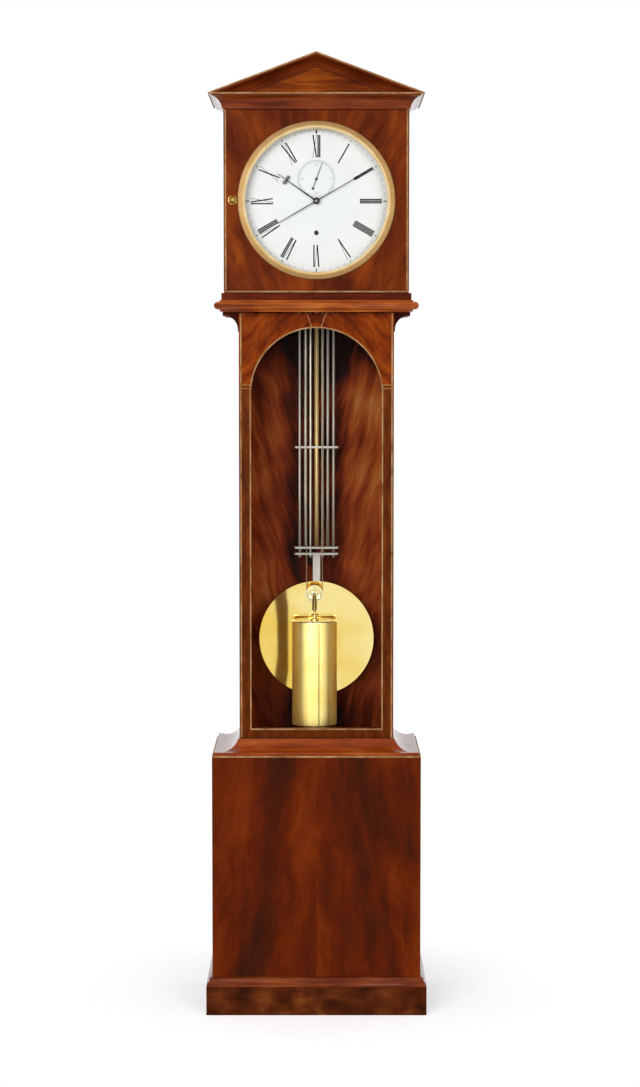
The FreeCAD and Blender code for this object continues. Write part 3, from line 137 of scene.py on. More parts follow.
def timber(name, look):
    material, tree, shader, place = newMaterial(name)
    split = addNode(tree, "ShaderNodeSeparateXYZ", {0: place}).outputs
    across = split["X"]
    if look.get("bookMatched"):  # two leaves of veneer opened like a book about the middle line
        across = addNode(tree, "ShaderNodeMath", {0: across}, operation="ABSOLUTE").outputs[0]
    rightLeaf = addNode(tree, "ShaderNodeMath", {0: split["X"], 1: 0.0}, operation="GREATER_THAN").outputs[0]
    depth = addNode(tree, "ShaderNodeMath", {0: rightLeaf, 1: look.get("leafChange", 0.0), 2: split["Y"]},
                    operation="MULTIPLY_ADD").outputs[0]
    leaf = addNode(tree, "ShaderNodeCombineXYZ", {0: across, 1: depth, 2: split["Z"]}).outputs[0]
    lean = (0.0, math.radians(look.get("lean", 0)), 0.0)
    leaned = addNode(tree, "ShaderNodeMapping", {"Vector": leaf, "Rotation": lean}).outputs[0]
    seated = addNode(tree, "ShaderNodeVectorMath", {0: leaned, 1: look["seat"]}, operation="ADD").outputs[0]

    # grain that wanders, with flames along it and slow clouds of tone
    wander = addNode(tree, "ShaderNodeTexNoise", {"Vector": seated, "Scale": 1000 / look["waveMm"],
                                                  **woodWork["wander"]}).outputs["Color"]
    bend = [look["waveBy"] / 1000] * 3
    bent = addNode(tree, "ShaderNodeVectorMath", {0: wander, 1: bend, 2: seated},
                   operation="MULTIPLY_ADD").outputs[0]
    along = addNode(tree, "ShaderNodeVectorMath", {0: bent, 1: look["grain"]},
                    operation="MULTIPLY").outputs[0]
    flame = addNode(tree, "ShaderNodeTexNoise", {"Vector": along, "Scale": 1000 / look["flameMm"],
                                                 **woodWork["flame"]}).outputs["Fac"]
    drawn = addNode(tree, "ShaderNodeVectorMath", {0: bent, 1: look.get("cloudGrain", (1, 1, 1))},
                    operation="MULTIPLY").outputs[0]
    cloud = addNode(tree, "ShaderNodeTexNoise", {"Vector": drawn, "Scale": 1000 / look["cloudMm"],
                                                 **woodWork["cloud"]}).outputs["Fac"]
    tone = addNode(tree, "ShaderNodeMath", {0: cloud, 1: look["cloudShare"], 2: look["lift"]},
                   operation="MULTIPLY_ADD").outputs[0]
    tone = addNode(tree, "ShaderNodeMath", {0: flame, 1: look["flameShare"], 2: tone},
                   operation="MULTIPLY_ADD").outputs[0]
    if "feather" in look:  # short streaks that fan out from the crotch of the tree
        streak = fanned(tree, bent, look["feather"])
        tone = addNode(tree, "ShaderNodeMath", {0: streak, 1: look["feather"]["share"], 2: tone},
                       operation="MULTIPLY_ADD").outputs[0]
    if "lane" in look:  # the dark heart of each leaf
        lane = look["lane"]
        spread = addNode(tree, "ShaderNodeSeparateXYZ", {0: leaned}).outputs["X"]
        off = addNode(tree, "ShaderNodeMath", {0: spread, 1: lane["at"]}, operation="SUBTRACT").outputs[0]
        off = addNode(tree, "ShaderNodeMath", {0: off}, operation="ABSOLUTE").outputs[0]
        tone = darkened(tree, tone, off, 0.0, lane["half"], lane["depth"])
    if "paintedDarkBand" in look:  # painted shade: a dark band along the joint of the two leaves, for the gridiron's shadow; the right leaf is lifted a little
        paintedDarkBand = look["paintedDarkBand"]
        tone = darkened(tree, tone, across, paintedDarkBand["near"], paintedDarkBand["far"], paintedDarkBand["depth"])
        tone = addNode(tree, "ShaderNodeMath", {0: rightLeaf, 1: paintedDarkBand["rightLift"], 2: tone},
                       operation="MULTIPLY_ADD").outputs[0]
    for end in look.get("darkEnds", []):  # painted shade towards the head of the board, for the shadow under the head of the trunk; darker towards the foot
        tone = darkened(tree, tone, split["Z"], end["dark"], end["plain"], end["depth"])
    if "boards" in look:  # boards laid side by side, each from another plank, with open joints
        boards = look["boards"]
        number = addNode(tree, "ShaderNodeMath", {0: split["X"], 1: boards["wide"]},
                         operation="DIVIDE").outputs[0]
        number = addNode(tree, "ShaderNodeMath", {0: number}, operation="FLOOR").outputs[0]
        plank = addNode(tree, "ShaderNodeTexWhiteNoise", {"W": number},
                        noise_dimensions="1D").outputs["Value"]
        tone = addNode(tree, "ShaderNodeMath", {0: plank, 1: boards["change"], 2: tone},
                       operation="MULTIPLY_ADD").outputs[0]
        off = addNode(tree, "ShaderNodeMath", {0: split["X"], 1: boards["wide"] / 2},
                      operation="PINGPONG").outputs[0]
        tone = darkened(tree, tone, off, 0.0, boards["joint"], boards["depth"])
    colour = addNode(tree, "ShaderNodeValToRGB", {"Fac": tone}, stops=look["stops"]).outputs["Color"]

    if "second" in look:  # a piece that shows two woods: the second one past a place, from the middle
        second = look["second"]
        reach = addNode(tree, "ShaderNodeMath", {0: split[second["axis"]]}, operation="ABSOLUTE").outputs[0]
        past = addNode(tree, "ShaderNodeMath", {0: reach, 1: second["limit"]},
                       operation=second["side"]).outputs[0]
        otherTone = tone
        if "fan" in second:  # a figure of its own, opened to both sides of the middle
            fan = second["fan"]
            ground = addNode(tree, "ShaderNodeMath", {0: cloud, 1: look["cloudShare"], 2: fan["lift"]},
                             operation="MULTIPLY_ADD").outputs[0]
            otherTone = addNode(tree, "ShaderNodeMath",
                                {0: fanned(tree, bent, fan), 1: fan["share"], 2: ground},
                                operation="MULTIPLY_ADD").outputs[0]
        other = addNode(tree, "ShaderNodeValToRGB", {"Fac": otherTone},
                        stops=second["stops"]).outputs["Color"]
        colour = addNode(tree, "ShaderNodeMix", {"Factor": past, 6: colour, 7: other},
                         data_type="RGBA").outputs[2]

    # pores darken the colour, dull the polish and roughen the surface
    fine = addNode(tree, "ShaderNodeVectorMath", {0: seated, 1: look["poreGrain"]},
                   operation="MULTIPLY").outputs[0]
    pores = addNode(tree, "ShaderNodeTexNoise", {"Vector": fine, "Scale": 1000 / look["poreMm"],
                                                 **woodWork["pores"]}).outputs["Fac"]
    low, high = woodWork["poreSpan"]
    darkest = 1.0 - look.get("poreDepth", woodWork["poreDepth"])
    shade = addNode(tree, "ShaderNodeMapRange", {"Value": pores, "From Min": low, "From Max": high,
                                                 "To Min": darkest,
                                                 "To Max": woodWork["poreLight"]}).outputs[0]
    colour = addNode(tree, "ShaderNodeVectorMath", {0: colour, "Scale": shade}, operation="SCALE").outputs[0]
    tree.links.new(colour, shader.inputs["Base Color"])
    low, high = woodWork["glossSpan"]
    rough = look.get("rough", woodWork["rough"])
    gloss = addNode(tree, "ShaderNodeMapRange", {"Value": pores, "From Min": low, "From Max": high,
                                                 "To Min": rough + woodWork["glossLoss"],
                                                 "To Max": rough}).outputs[0]
    tree.links.new(gloss, shader.inputs["Roughness"])
    bump = addNode(tree, "ShaderNodeBump", {"Height": pores, **woodWork["bump"]}).outputs[0]
    tree.links.new(bump, shader.inputs["Normal"])
    setShader(shader, Specular_IOR_Level=look.get("specular", woodWork["specular"]),
              Coat_Weight=look.get("coat", 0.0), **woodWork["polish"])
    return material


# flame mahogany, saw-cut veneer, french polished: dark hearts and paler feathers under a soft gloss
baseFlame = timber("flameMahoganyFrenchPolished", {
    "bookMatched": True, "leafChange": 0.05, "lean": 7, "seat": (0.31, 0.2, 0.55),
    "waveMm": 150, "waveBy": 60, "grain": (1.0, 1.0, 0.10), "flameMm": 30, "flameShare": 0.32,
    "cloudMm": 60, "cloudGrain": (1, 1, 0.3), "cloudShare": 0.42, "lift": 0.13,
    "feather": {"lean": 26, "mm": 9, "share": 0.12}, "lane": {"at": 0.152, "half": 0.062, "depth": 0.18},
    "poreMm": 2.2, "poreGrain": (1.0, 1.0, 0.06), "poreDepth": 0.10,
    "stops": [(0.28, "#2e140b"), (0.43, "#4a1a09"), (0.54, "#622106"), (0.66, "#7a2f0a"),
              (0.80, "#984514")]})
# straight-grained mahogany veneer, french polished: quiet upright stripes on the sides
sideLook = {
    "seat": (0.7, 0.1, 0.2), "waveMm": 240, "waveBy": 30, "grain": (1.0, 1.0, 0.05), "flameMm": 16,
    "flameShare": 0.7, "cloudMm": 130, "cloudShare": 0.35, "lift": -0.03, "poreMm": 2.0,
    "poreGrain": (1.0, 1.0, 0.04),
    "stops": tones("#2e0d04", "#4f1b08", "#6d2b0c", "#8a3f14", "#a85c25")}
sideVeneer = timber("straightMahoganyFrenchPolished", sideLook)
# trunk sides: the same veneer outside, oiled maple lining inside: plain and pale behind the glass
trunkSideWood = timber("straightMahoganyMapleLined", {
    **sideLook, "second": {"axis": "X", "side": "LESS_THAN", "limit": 0.1485,
                           "stops": tones("#e2c290", "#ecd0a2", "#f2dab0", "#f6e3be", "#faecce")}})
# wood worked along the length of rails and mouldings
levelLook = {"grain": (0.07, 0.07, 1.0), "flameShare": 0.6, "cloudShare": 0.4, "lift": 0.0, "poreMm": 1.6,
             "poreGrain": (0.05, 0.05, 1.0)}
# rail and brackets: plain dark mahogany, french polished: a quiet band under the hood; on the brackets the
# dark tone is partly painted shade, for the shadow under the shelf
darkRailAndBracketShade = timber("plainDarkMahoganyBracketShade", {
    **levelLook, "seat": (0.6, 0.5, 0.8), "waveMm": 160, "waveBy": 14, "flameMm": 9, "cloudMm": 110,
    "stops": tones("#330e05", "#4b1707", "#5d1f09", "#732c0f", "#8a401c")})
# hood door veneer: one mottled sheet, warmer than the base, french polished
hoodVeneer = timber("mottledMahoganyFrenchPolished", {
    "bookMatched": True, "leafChange": 0.09, "lean": -16, "seat": (0.12, 0.4, 0.83),
    "waveMm": 90, "waveBy": 50, "grain": (1.0, 1.0, 0.16), "flameMm": 24, "flameShare": 0.45,
    "cloudMm": 70, "cloudGrain": (1, 1, 0.5), "cloudShare": 0.50, "lift": 0.01,
    "feather": {"lean": -22, "mm": 8, "share": 0.12},
    "poreMm": 2.0, "poreGrain": (1.0, 1.0, 0.05), "poreDepth": 0.10,
    "stops": tones("#341005", "#551d06", "#702c08", "#893c0d", "#a5561c")})
# trunk door: darker stiles below the capitals, paler orange spandrels round the arch
doorVeneer = timber("doorMahoganyFrenchPolished", {
    "bookMatched": True, "seat": (0.5, 0.25, 0.1), "waveMm": 90, "waveBy": 34, "grain": (1.0, 1.0, 0.07),
    "flameMm": 14, "flameShare": 0.65, "cloudMm": 80, "cloudShare": 0.4, "lift": -0.03,
    "poreMm": 1.8, "poreGrain": (1.0, 1.0, 0.05),
    "stops": tones("#3a1606", "#562409", "#6d300c", "#853f12", "#9c5420"),
    "second": {"axis": "Z", "side": "GREATER_THAN", "limit": 1.334,
               "fan": {"lean": 42, "mm": 16, "along": 0.22, "share": 0.95, "lift": -0.17},
               "stops": tones("#5a1e03", "#752b04", "#8a3806", "#9c470c", "#b0601f")}})
# mouldings worked along the grain, french polished: long stripes and a line of light on each round
mouldLook = {
    **levelLook, "seat": (0.2, 0.9, 0.4), "waveMm": 180, "waveBy": 12, "flameMm": 9, "cloudMm": 120,
    "lift": 0.02, "rough": 0.16, "specular": 0.12, "coat": 0.8,
    "stops": tones("#5f1e06", "#86330c", "#9f4413", "#b45a20", "#c87634")}
mouldingWood = timber("runMahoganyMoulding", mouldLook)
# cornice and plinth mouldings: the same work in darker timber
darkMoulding = timber("runMahoganyDarkMoulding", {
    **mouldLook, "seat": (0.6, 0.1, 0.2), "specular": 0.08,
    "stops": tones("#471807", "#6a290c", "#853b14", "#9d4f20", "#b66c36")})
# waist bullnose: paler
crownWood = timber("runMahoganyBullnose", {
    **mouldLook, "seat": (0.8, 0.2, 0.4), "cloudMm": 70, "cloudShare": 0.5, "lift": -0.02,
    "stops": tones("#6a2407", "#923e0f", "#ac5217", "#c06a26", "#d08a40")})
# burr-like plinth veneer, french polished: dark with warm blotches
plinthVeneer = timber("mottledPlinthMahogany", {
    "seat": (0.9, 0.3, 0.6), "waveMm": 60, "waveBy": 30, "grain": (0.5, 0.5, 1.0), "flameMm": 26,
    "flameShare": 0.5, "cloudMm": 60, "cloudShare": 0.7, "lift": -0.1, "poreMm": 2.0,
    "poreGrain": (0.3, 0.3, 1.0), "rough": 0.36,
    "stops": tones("#2e1206", "#4a1d09", "#5f2a0f", "#7d4018", "#9c5a26")})
# tympanum: plain warm veneer laid level, french polished: long stripes from side to side
gableVeneer = timber("levelMahoganyFrenchPolished", {
    **levelLook, "seat": (0.4, 0.2, 0.1), "waveMm": 120, "waveBy": 20, "flameMm": 8, "cloudMm": 90,
    "stops": tones("#4c1a03", "#6b2a05", "#833a08", "#9a4a10", "#b06420")})
# pediment rakes: redder timber, its grain run along the slope of each rake
rakeWood = timber("rakedMahoganyMoulding", {
    **levelLook, "bookMatched": True, "lean": -20, "seat": (0.1, 0.7, 0.3), "waveMm": 150, "waveBy": 12,
    "flameMm": 8, "cloudMm": 100,
    "stops": tones("#3d1204", "#591f07", "#6e2b0b", "#843a13", "#9c5324")})
# backboard: crotch mahogany, book matched, oiled: red curls on the left, golden stripes on the right
backVeneer = timber("crotchMahoganyBackboard", {
    "bookMatched": True, "leafChange": 0.31, "lean": -11, "seat": (0.24, 0.6, 0.31),
    "waveMm": 170, "waveBy": 56, "grain": (1.0, 1.0, 0.07), "flameMm": 22, "flameShare": 0.44,
    "cloudMm": 120, "cloudShare": 0.46, "lift": 0.01,
    # the dark band along the joint is painted shade, for the shadow of the gridiron rods
    "paintedDarkBand": {"near": 0.035, "far": 0.090, "depth": 0.19, "rightLift": 0.02},
    "feather": {"lean": -15, "mm": 8, "along": 0.05, "share": 0.22},
    "poreMm": 2.4, "poreGrain": (1.0, 1.0, 0.05), "rough": 0.42,
    # the darker head is painted shade, for the shadow under the trunk's head; the foot is darker towards the
    # bottom
    "darkEnds": [{"dark": 0.60, "plain": 0.80, "depth": 0.13}, {"dark": 1.47, "plain": 1.28, "depth": 0.26}],
    "stops": [(0.30, "#1e0803"), (0.42, "#561a08"), (0.53, "#843412"), (0.64, "#a35020"),
              (0.78, "#bd7f42")]})
# pine carcase boards, planed and stained: dull brown with soft stripes and a dark line at each joint
pineLook = {
    "seat": (0.1, 0.1, 0.9), "waveMm": 200, "waveBy": 24, "grain": (1.0, 1.0, 0.04), "flameMm": 12,
    "flameShare": 0.6, "cloudMm": 150, "cloudShare": 0.2, "lift": 0.04,
    "boards": {"wide": 0.098, "joint": 0.0022, "depth": 0.6, "change": 0.16},
    "poreMm": 2.5, "poreGrain": (1.0, 1.0, 0.05), "rough": 0.55, "specular": 0.06,
    "stops": [(0.10, "#20140b"), (0.36, "#66421f"), (0.54, "#8a5f34"), (0.68, "#9f7444"),
              (0.82, "#b48a58")]}
carcaseWood = timber("stainedPineBoards", pineLook)
# roof boards: the same pine, laid from front to back
roofWood = timber("stainedPineRoofBoards", {
    **pineLook, "grain": (1.0, 0.04, 1.0), "poreGrain": (1.0, 0.05, 1.0)})
# boxwood stringing, scraped flush and polished: pale lines with a brown cast in the grain
stringing = timber("boxwoodStringing", {
    "seat": (0.3, 0.3, 0.3), "waveMm": 60, "waveBy": 10, "grain": (0.5, 0.5, 0.5), "flameMm": 12,
    "flameShare": 0.6, "cloudMm": 40, "cloudShare": 0.5, "lift": -0.05, "poreMm": 2.0,
    "poreGrain": (1.0, 1.0, 1.0), "rough": 0.36,
    "stops": tones("#7e542d", "#a0774a", "#b58d60", "#c29b6f", "#ceaa80")})
print("woods ready")


# metals, enamel, gut and glass: what they share; tool marks too fine to show are drawn coarser by lineMm
toolWork = {"cloud": {"Detail": 3.0}, "lines": {"Detail": 2.0}, "glossSpan": (0.3, 0.7), "bumpDeep": 0.0002}


def worked(name, look):
    material, tree, shader, place = newMaterial(name)
    cloud = addNode(tree, "ShaderNodeTexNoise", {"Vector": place, "Scale": 1000 / look["cloudMm"],
                                                 **toolWork["cloud"]}).outputs["Fac"]
    stretched = addNode(tree, "ShaderNodeVectorMath", {0: place, 1: look.get("grain", (1, 1, 1))},
                        operation="MULTIPLY").outputs[0]
    lines = addNode(tree, "ShaderNodeTexNoise", {"Vector": stretched, "Scale": 1000 / look["lineMm"],
                                                 **toolWork["lines"]}).outputs["Fac"]
    aside = addNode(tree, "ShaderNodeSeparateXYZ", {0: place}).outputs["X"]
    if "paintedSideLight" in look:  # painted light: paler towards the right, a deeper gold towards the left
        cloud = addNode(tree, "ShaderNodeMath", {0: aside, 1: look["paintedSideLight"], 2: cloud},
                        operation="MULTIPLY_ADD").outputs[0]
    colour = addNode(tree, "ShaderNodeValToRGB", {"Fac": cloud}, stops=look["stops"]).outputs["Color"]
    if "paintedDarkBand" in look:  # painted reflection: a dark line up the front of the tube
        paintedDarkBand = look["paintedDarkBand"]
        off = addNode(tree, "ShaderNodeMath", {0: aside, 1: paintedDarkBand["at"]}, operation="SUBTRACT").outputs[0]
        off = addNode(tree, "ShaderNodeMath", {0: off}, operation="ABSOLUTE").outputs[0]
        paintedLineShade = addNode(tree, "ShaderNodeMapRange", {"Value": off, "From Max": paintedDarkBand["half"],
                                                     "To Min": 1.0 - paintedDarkBand["depth"], "To Max": 1.0},
                        interpolation_type="SMOOTHSTEP").outputs[0]
        colour = addNode(tree, "ShaderNodeVectorMath", {0: colour, "Scale": paintedLineShade},
                         operation="SCALE").outputs[0]
    tree.links.new(colour, shader.inputs["Base Color"])
    low, high = toolWork["glossSpan"]
    bright, dull = look["rough"]
    gloss = addNode(tree, "ShaderNodeMapRange", {"Value": lines, "From Min": low, "From Max": high,
                                                 "To Min": bright, "To Max": dull}).outputs[0]
    tree.links.new(gloss, shader.inputs["Roughness"])
    bump = addNode(tree, "ShaderNodeBump", {"Height": lines, "Strength": look["bump"],
                                            "Distance": toolWork["bumpDeep"]}).outputs[0]
    tree.links.new(bump, shader.inputs["Normal"])
    if "ior" in look:  # enamel and gut
        setShader(shader, Metallic=0.0, IOR=look["ior"], Specular_IOR_Level=look["specular"])
    else:
        setShader(shader, Metallic=1.0)
    return material


# lacquered brass, buffed: a bright yellow mirror with slight clouding
polishedBrass = worked("brassBuffedLacquered", {
    "stops": tones("#f8d883", "#ffe796"), "cloudMm": 60, "lineMm": 3.0, "rough": (0.05, 0.12),
    "bump": 0.01})
# bob: the same brass, spun and burnished to a mirror, toned from straw to deep gold, with painted light
# across it: paler to the right, deeper gold to the left
bobBrass = worked("brassSpunBurnished", {
    "stops": [(0.34, "#f6ca56"), (0.60, "#ffe69a")], "cloudMm": 150, "lineMm": 3.0, "paintedSideLight": 1.3,
    "rough": (0.02, 0.045), "bump": 0.0004})
# weight: drawn brass tube, rubbed lengthwise: satin, with long streaks up and down
tubeLook = {
    "stops": tones("#fbd87e", "#ffea98"), "cloudMm": 50, "lineMm": 7.0, "grain": (1, 1, 0.02),
    "rough": (0.34, 0.46), "bump": 0.004}
# the dark line up the weight's front, right of the middle, is a painted reflection
weightBrass = worked("brassDrawnRubbed", {**tubeLook, "paintedDarkBand": {"at": 0.0052, "half": 0.0034, "depth": 0.6}})
# middle rod: drawn brass, paler and drier
rodBrass = worked("brassDrawnRod", {**tubeLook, "stops": tones("#e9c98a", "#f6dda2")})
# pulley, stirrup and the weight's cap: turned brass, its lacquer worn thin: paler, with a softer mirror
turnedBrass = worked("brassTurnedWorn", {
    "stops": tones("#ebd8a0", "#f5e6b6"), "cloudMm": 20, "lineMm": 2.0, "rough": (0.12, 0.22),
    "bump": 0.01})
# plate brass, grained with a stick: straight fine lines, drawn coarser so that they show
platedBrass = worked("brassStickGrained", {
    "stops": tones("#cfa95c", "#e3c27a"), "cloudMm": 40, "lineMm": 1.2, "grain": (1, 1, 0.04),
    "rough": (0.22, 0.36), "bump": 0.05})
# mercury-gilt bezel, scratch brushed: a soft satin gold
giltLook = {
    "stops": tones("#9c794a", "#a8875b"), "cloudMm": 30, "lineMm": 1.5, "rough": (0.42, 0.55),
    "bump": 0.04}
giltBezel = worked("brassMercuryGilt", giltLook)
# hollow round the bezel's opening: the same gilt painted paler than the rim, painted light that lifts the
# shade in the hollow
paintedLitGilt = worked("giltHollowPaintedLit", {**giltLook, "stops": tones("#e8cf98", "#f3e0b4")})
# brass knob, handled for years: brown in patches, dull
handledBrass = worked("brassHandledDull", {
    "stops": [(0.38, "#6e4f26"), (0.62, "#b8924e")], "cloudMm": 4, "lineMm": 1.5, "rough": (0.30, 0.45),
    "bump": 0.05})
# steel and zinc rods, ground lengthwise: grey with long pale streaks
groundSteel = worked("steelGroundBright", {
    "stops": tones("#bdb9b2", "#dad6cf"), "cloudMm": 70, "lineMm": 1.4, "grain": (1, 1, 0.03),
    "rough": (0.34, 0.48), "bump": 0.04})
# flat steel stem and bridges, filed and stoned: dull even grey
stonedSteel = worked("steelFiledStoned", {
    "stops": tones("#8b857e", "#a29b94"), "cloudMm": 50, "lineMm": 1.4, "grain": (1, 1, 0.05),
    "rough": (0.38, 0.50), "bump": 0.04})
# collet of the minute hand, turned from steel and left grey: darker than the rods, with a soft shine
turnedSteel = worked("steelTurnedGrey", {
    "stops": tones("#66625e", "#74706c"), "cloudMm": 8, "lineMm": 1.0, "rough": (0.34, 0.46),
    "bump": 0.02})
# steel hands, heat blued: nearly black with a cold sheen
bluedSteel = worked("steelHeatBlued", {
    "stops": tones("#1a1a1f", "#2e3038"), "cloudMm": 8, "lineMm": 1.0, "rough": (0.22, 0.34),
    "bump": 0.02})
# fired vitreous enamel on copper: white, glassy, very slightly uneven
dialEnamel = worked("enamelFiredWhite", {
    "ior": 1.5, "specular": 0.25, "stops": tones("#f3f2f6", "#f8f7fb"), "cloudMm": 45,
    "lineMm": 14, "rough": (0.10, 0.18), "bump": 0.03})
# black enamel paint, fired on: dense ink, very slightly uneven
dialInk = worked("enamelPaintBlack", {
    "ior": 1.5, "specular": 0.02, "stops": tones("#08070a", "#141216"), "cloudMm": 6, "lineMm": 2,
    "rough": (0.3, 0.4), "bump": 0.02})
# thin enamel paint, worn: the seconds circle has gone grey
wornInk = worked("enamelPaintWornGrey", {
    "ior": 1.5, "specular": 0.1, "stops": tones("#98989c", "#b8b8bc"), "cloudMm": 5, "lineMm": 2,
    "rough": (0.3, 0.4), "bump": 0.02})
# twisted gut, oiled: brown and slightly waxy
gutLine = worked("gutTwistedOiled", {
    "ior": 1.5, "specular": 0.3, "stops": tones("#8a7050", "#b39a76"), "cloudMm": 4, "lineMm": 1.0,
    "grain": (1, 1, 0.3), "rough": (0.45, 0.6), "bump": 0.1})


def paneGlass(name, look):
    material, tree, shader, place = newMaterial(name)
    tree.nodes.remove(shader)
    clear = addNode(tree, "ShaderNodeBsdfTransparent", {"Color": hexLinear(look["tint"])}).outputs[0]
    ripple = addNode(tree, "ShaderNodeTexNoise", {"Vector": place, "Scale": 1000 / look["rippleMm"],
                                                  "Detail": 1.0}).outputs["Fac"]
    uneven = addNode(tree, "ShaderNodeBump", {"Height": ripple, **look["bump"]}).outputs[0]
    mirror = addNode(tree, "ShaderNodeBsdfGlossy", {"Roughness": look["rough"], "Normal": uneven}).outputs[0]
    edge = addNode(tree, "ShaderNodeFresnel", {"IOR": look["ior"]}).outputs[0]
    mixed = addNode(tree, "ShaderNodeMixShader", {0: edge, 1: clear, 2: mirror}).outputs[0]
    tree.links.new(mixed, tree.nodes["Material Output"].inputs["Surface"])
    return material


# drawn sheet glass: clear, faintly green, with a slow ripple in what it mirrors
drawnGlass = paneGlass("sheetGlassDrawn", {"tint": "#fdfefd", "rippleMm": 60, "ior": 1.08, "rough": 0.02,
                                           "bump": {"Strength": 0.1, "Distance": 0.0005}})
print("metals, enamel and glass ready")


# CAD nodes: a finish for each slot, other ones for some nodes, and smooth copies of turned and moulded ones
finishOfSlot = {
    "stringing": stringing, "glass": drawnGlass, "gilt": giltBezel, "brass": platedBrass,
    "steel": groundSteel, "blued_steel": bluedSteel, "enamel": dialEnamel, "gut": gutLine,
    "veneer": sideVeneer, "carcase_wood": carcaseWood}
finishOf = {
    "plinth_skirt": plinthVeneer, "plinth_moulding": darkMoulding, "base_front_panel": baseFlame,
    "base_cove_moulding": mouldingWood, "trunk_side_panels": trunkSideWood, "backboards": backVeneer,
    # the brackets' dark wood is partly painted shade, for the shadow under the shelf
    "waist_brackets": darkRailAndBracketShade, "waist_shelf": crownWood, "hood_base_rail": darkRailAndBracketShade,
    "hood_cornice": darkMoulding, "pediment_rakes": rakeWood, "pediment_tympanum": gableVeneer,
    "hood_roof_boards": roofWood, "trunk_door_frame": doorVeneer, "trunk_door_bead": doorVeneer,
    "hood_door_panel": hoodVeneer, "hood_door_knob": handledBrass, "pendulum_bob": bobBrass,
    "weight_body": weightBrass, "pulley_wheel": turnedBrass, "pulley_stirrup": turnedBrass,
    "gridiron_brass_rods": rodBrass, "gridiron_bridges": stonedSteel, "pendulum_stem": stonedSteel,
    "rating_nut": polishedBrass}
smoothNodes = [
    "plinth_moulding", "base_cove_moulding", "waist_brackets", "waist_shelf", "hood_base_rail",
    "hood_cornice", "backboards", "trunk_door_bead", "bezel_ring", "hood_door_knob", "dial_plate",
    "pendulum_bob", "weight_body", "pulley_wheel", "pulley_stirrup", "gridiron_brass_rods",
    "gridiron_steel_rods", "gridiron_bridges", "pendulum_stem", "rating_nut", "suspension_spring",
    "plate_pillars", "movement_screws", "movement_cocks", "movement_bracket", "front_plate", "back_plate",
    "escape_wheel", "third_wheel", "centre_wheel", "minute_wheel", "hour_wheel", "intermediate_wheel",
    "great_wheel", "winding_drum", "pallet_anchor", "case_hinge_pins", "trunk_door_hinge_plates",
    "hood_door_hinge_plates", "seconds_hand", "minute_hand", "hour_hand"]
smoothWork = {"weld": 2e-6, "edgeAngle": 28, "edgeAngleOf": {"bezel_ring": 12}}
dialMiddle = jointAt["centre_spin"][2]  # height of the hands' arbor
secondsMiddle = jointAt["escape_spin"][2]  # height of the seconds hand's arbor


def fromArbor(spot):
    return math.hypot(spot.x, spot.z - dialMiddle)


# faces past a place take another finish: zinc rods, a nearly black blued steel winding square that is
# partly painted shade for the winding hole, plain back of the boards, the bezel's hollow painted paler
# as painted light, grey collet of the minute hand, blued tip under the seconds hand and the turned cap
# of the weight
secondFinish = {
    "gridiron_brass_rods": (lambda spot: abs(spot.x) > 0.010, groundSteel),
    # the winding square's near-black blue is partly painted shade, for the shade in the winding hole
    "winding_drum": (lambda spot: spot.y < -0.060, bluedSteel),
    "backboards": (lambda spot: spot.y > 0.137, carcaseWood),
    "bezel_ring": (lambda spot: fromArbor(spot) < 0.1535, paintedLitGilt),
    "minute_hand": (lambda spot: fromArbor(spot) < 0.0036, turnedSteel),
    "escape_wheel": (lambda spot: spot.y < -0.079, bluedSteel),
    "weight_body": (lambda spot: spot.z > 0.826, turnedBrass)}


def seatPiece(mesh, name, body, material=None):
    piece = newObject(name, mesh)
    if material:
        mesh.materials.clear()
        mesh.materials.append(material)
    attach(piece, body)
    return piece


for node, holder in frame["nodes"].items():
    material = finishOf.get(node) or finishOfSlot[slotOf[node]]
    for place in holder.material_slots:
        place.material = material
    if not holder.material_slots:
        holder.data.materials.append(material)
for node in smoothNodes:
    mesh = frame["nodes"][node].data.copy()
    work = bmesh.new()
    work.from_mesh(mesh)
    bmesh.ops.remove_doubles(work, verts=work.verts, dist=smoothWork["weld"])
    work.to_mesh(mesh)
    work.free()
    mesh.normals_split_custom_set([(0, 0, 0)] * len(mesh.loops))
    mesh.shade_smooth()
    edgeAngle = smoothWork["edgeAngleOf"].get(node, smoothWork["edgeAngle"])
    mesh.set_sharp_from_angle(angle=math.radians(edgeAngle))
    if node in secondFinish:
        isOther, otherFinish = secondFinish[node]
        mesh.materials.append(otherFinish)
        for face in mesh.polygons:
            face.material_index = 1 if isOther(face.center) else 0
    copy = seatPiece(mesh, node + "_smooth", bodyOf[node])
    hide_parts(node)
print("finishes set,", len(smoothNodes), "nodes smoothed")


# dial: Roman hours, painted
inkGap = 0.0001  # all the ink starts this far off the enamel
inkFoot = round(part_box("dial_plate")[0][1], 6) - inkGap
dialLook = {"centre": (0.0, inkFoot, dialMiddle), "ink": 0.00015, "numeralFoot": 0.0915,
            "numeralHead": 0.1375, "thick": 0.0027, "thin": 0.0008, "gap": 0.0008, "serif": 0.0008,
            "serifOver": 0.0003, "wideV": 0.0095, "wideX": 0.0098,
            "hours": "XII I II III IIII V VI VII VIII IX X XI"}


def stroke(work, corners, place):
    # corners run round the stroke as (across, outwards); the ink stands proud of the enamel by its thickness
    front = [work.verts.new(place @ Vector((u, -dialLook["ink"], v))) for u, v in corners]
    back = [work.verts.new(place @ Vector((u, 0.0, v))) for u, v in corners]
    work.faces.new(front)
    work.faces.new(back[::-1])
    for i in range(len(corners)):
        j = (i + 1) % len(corners)
        work.faces.new((front[j], front[i], back[i], back[j]))


def bar(u0, v0, u1, v1, width):
    half = width / 2
    return [(u0 - half, v0), (u0 + half, v0), (u1 + half, v1), (u1 - half, v1)]


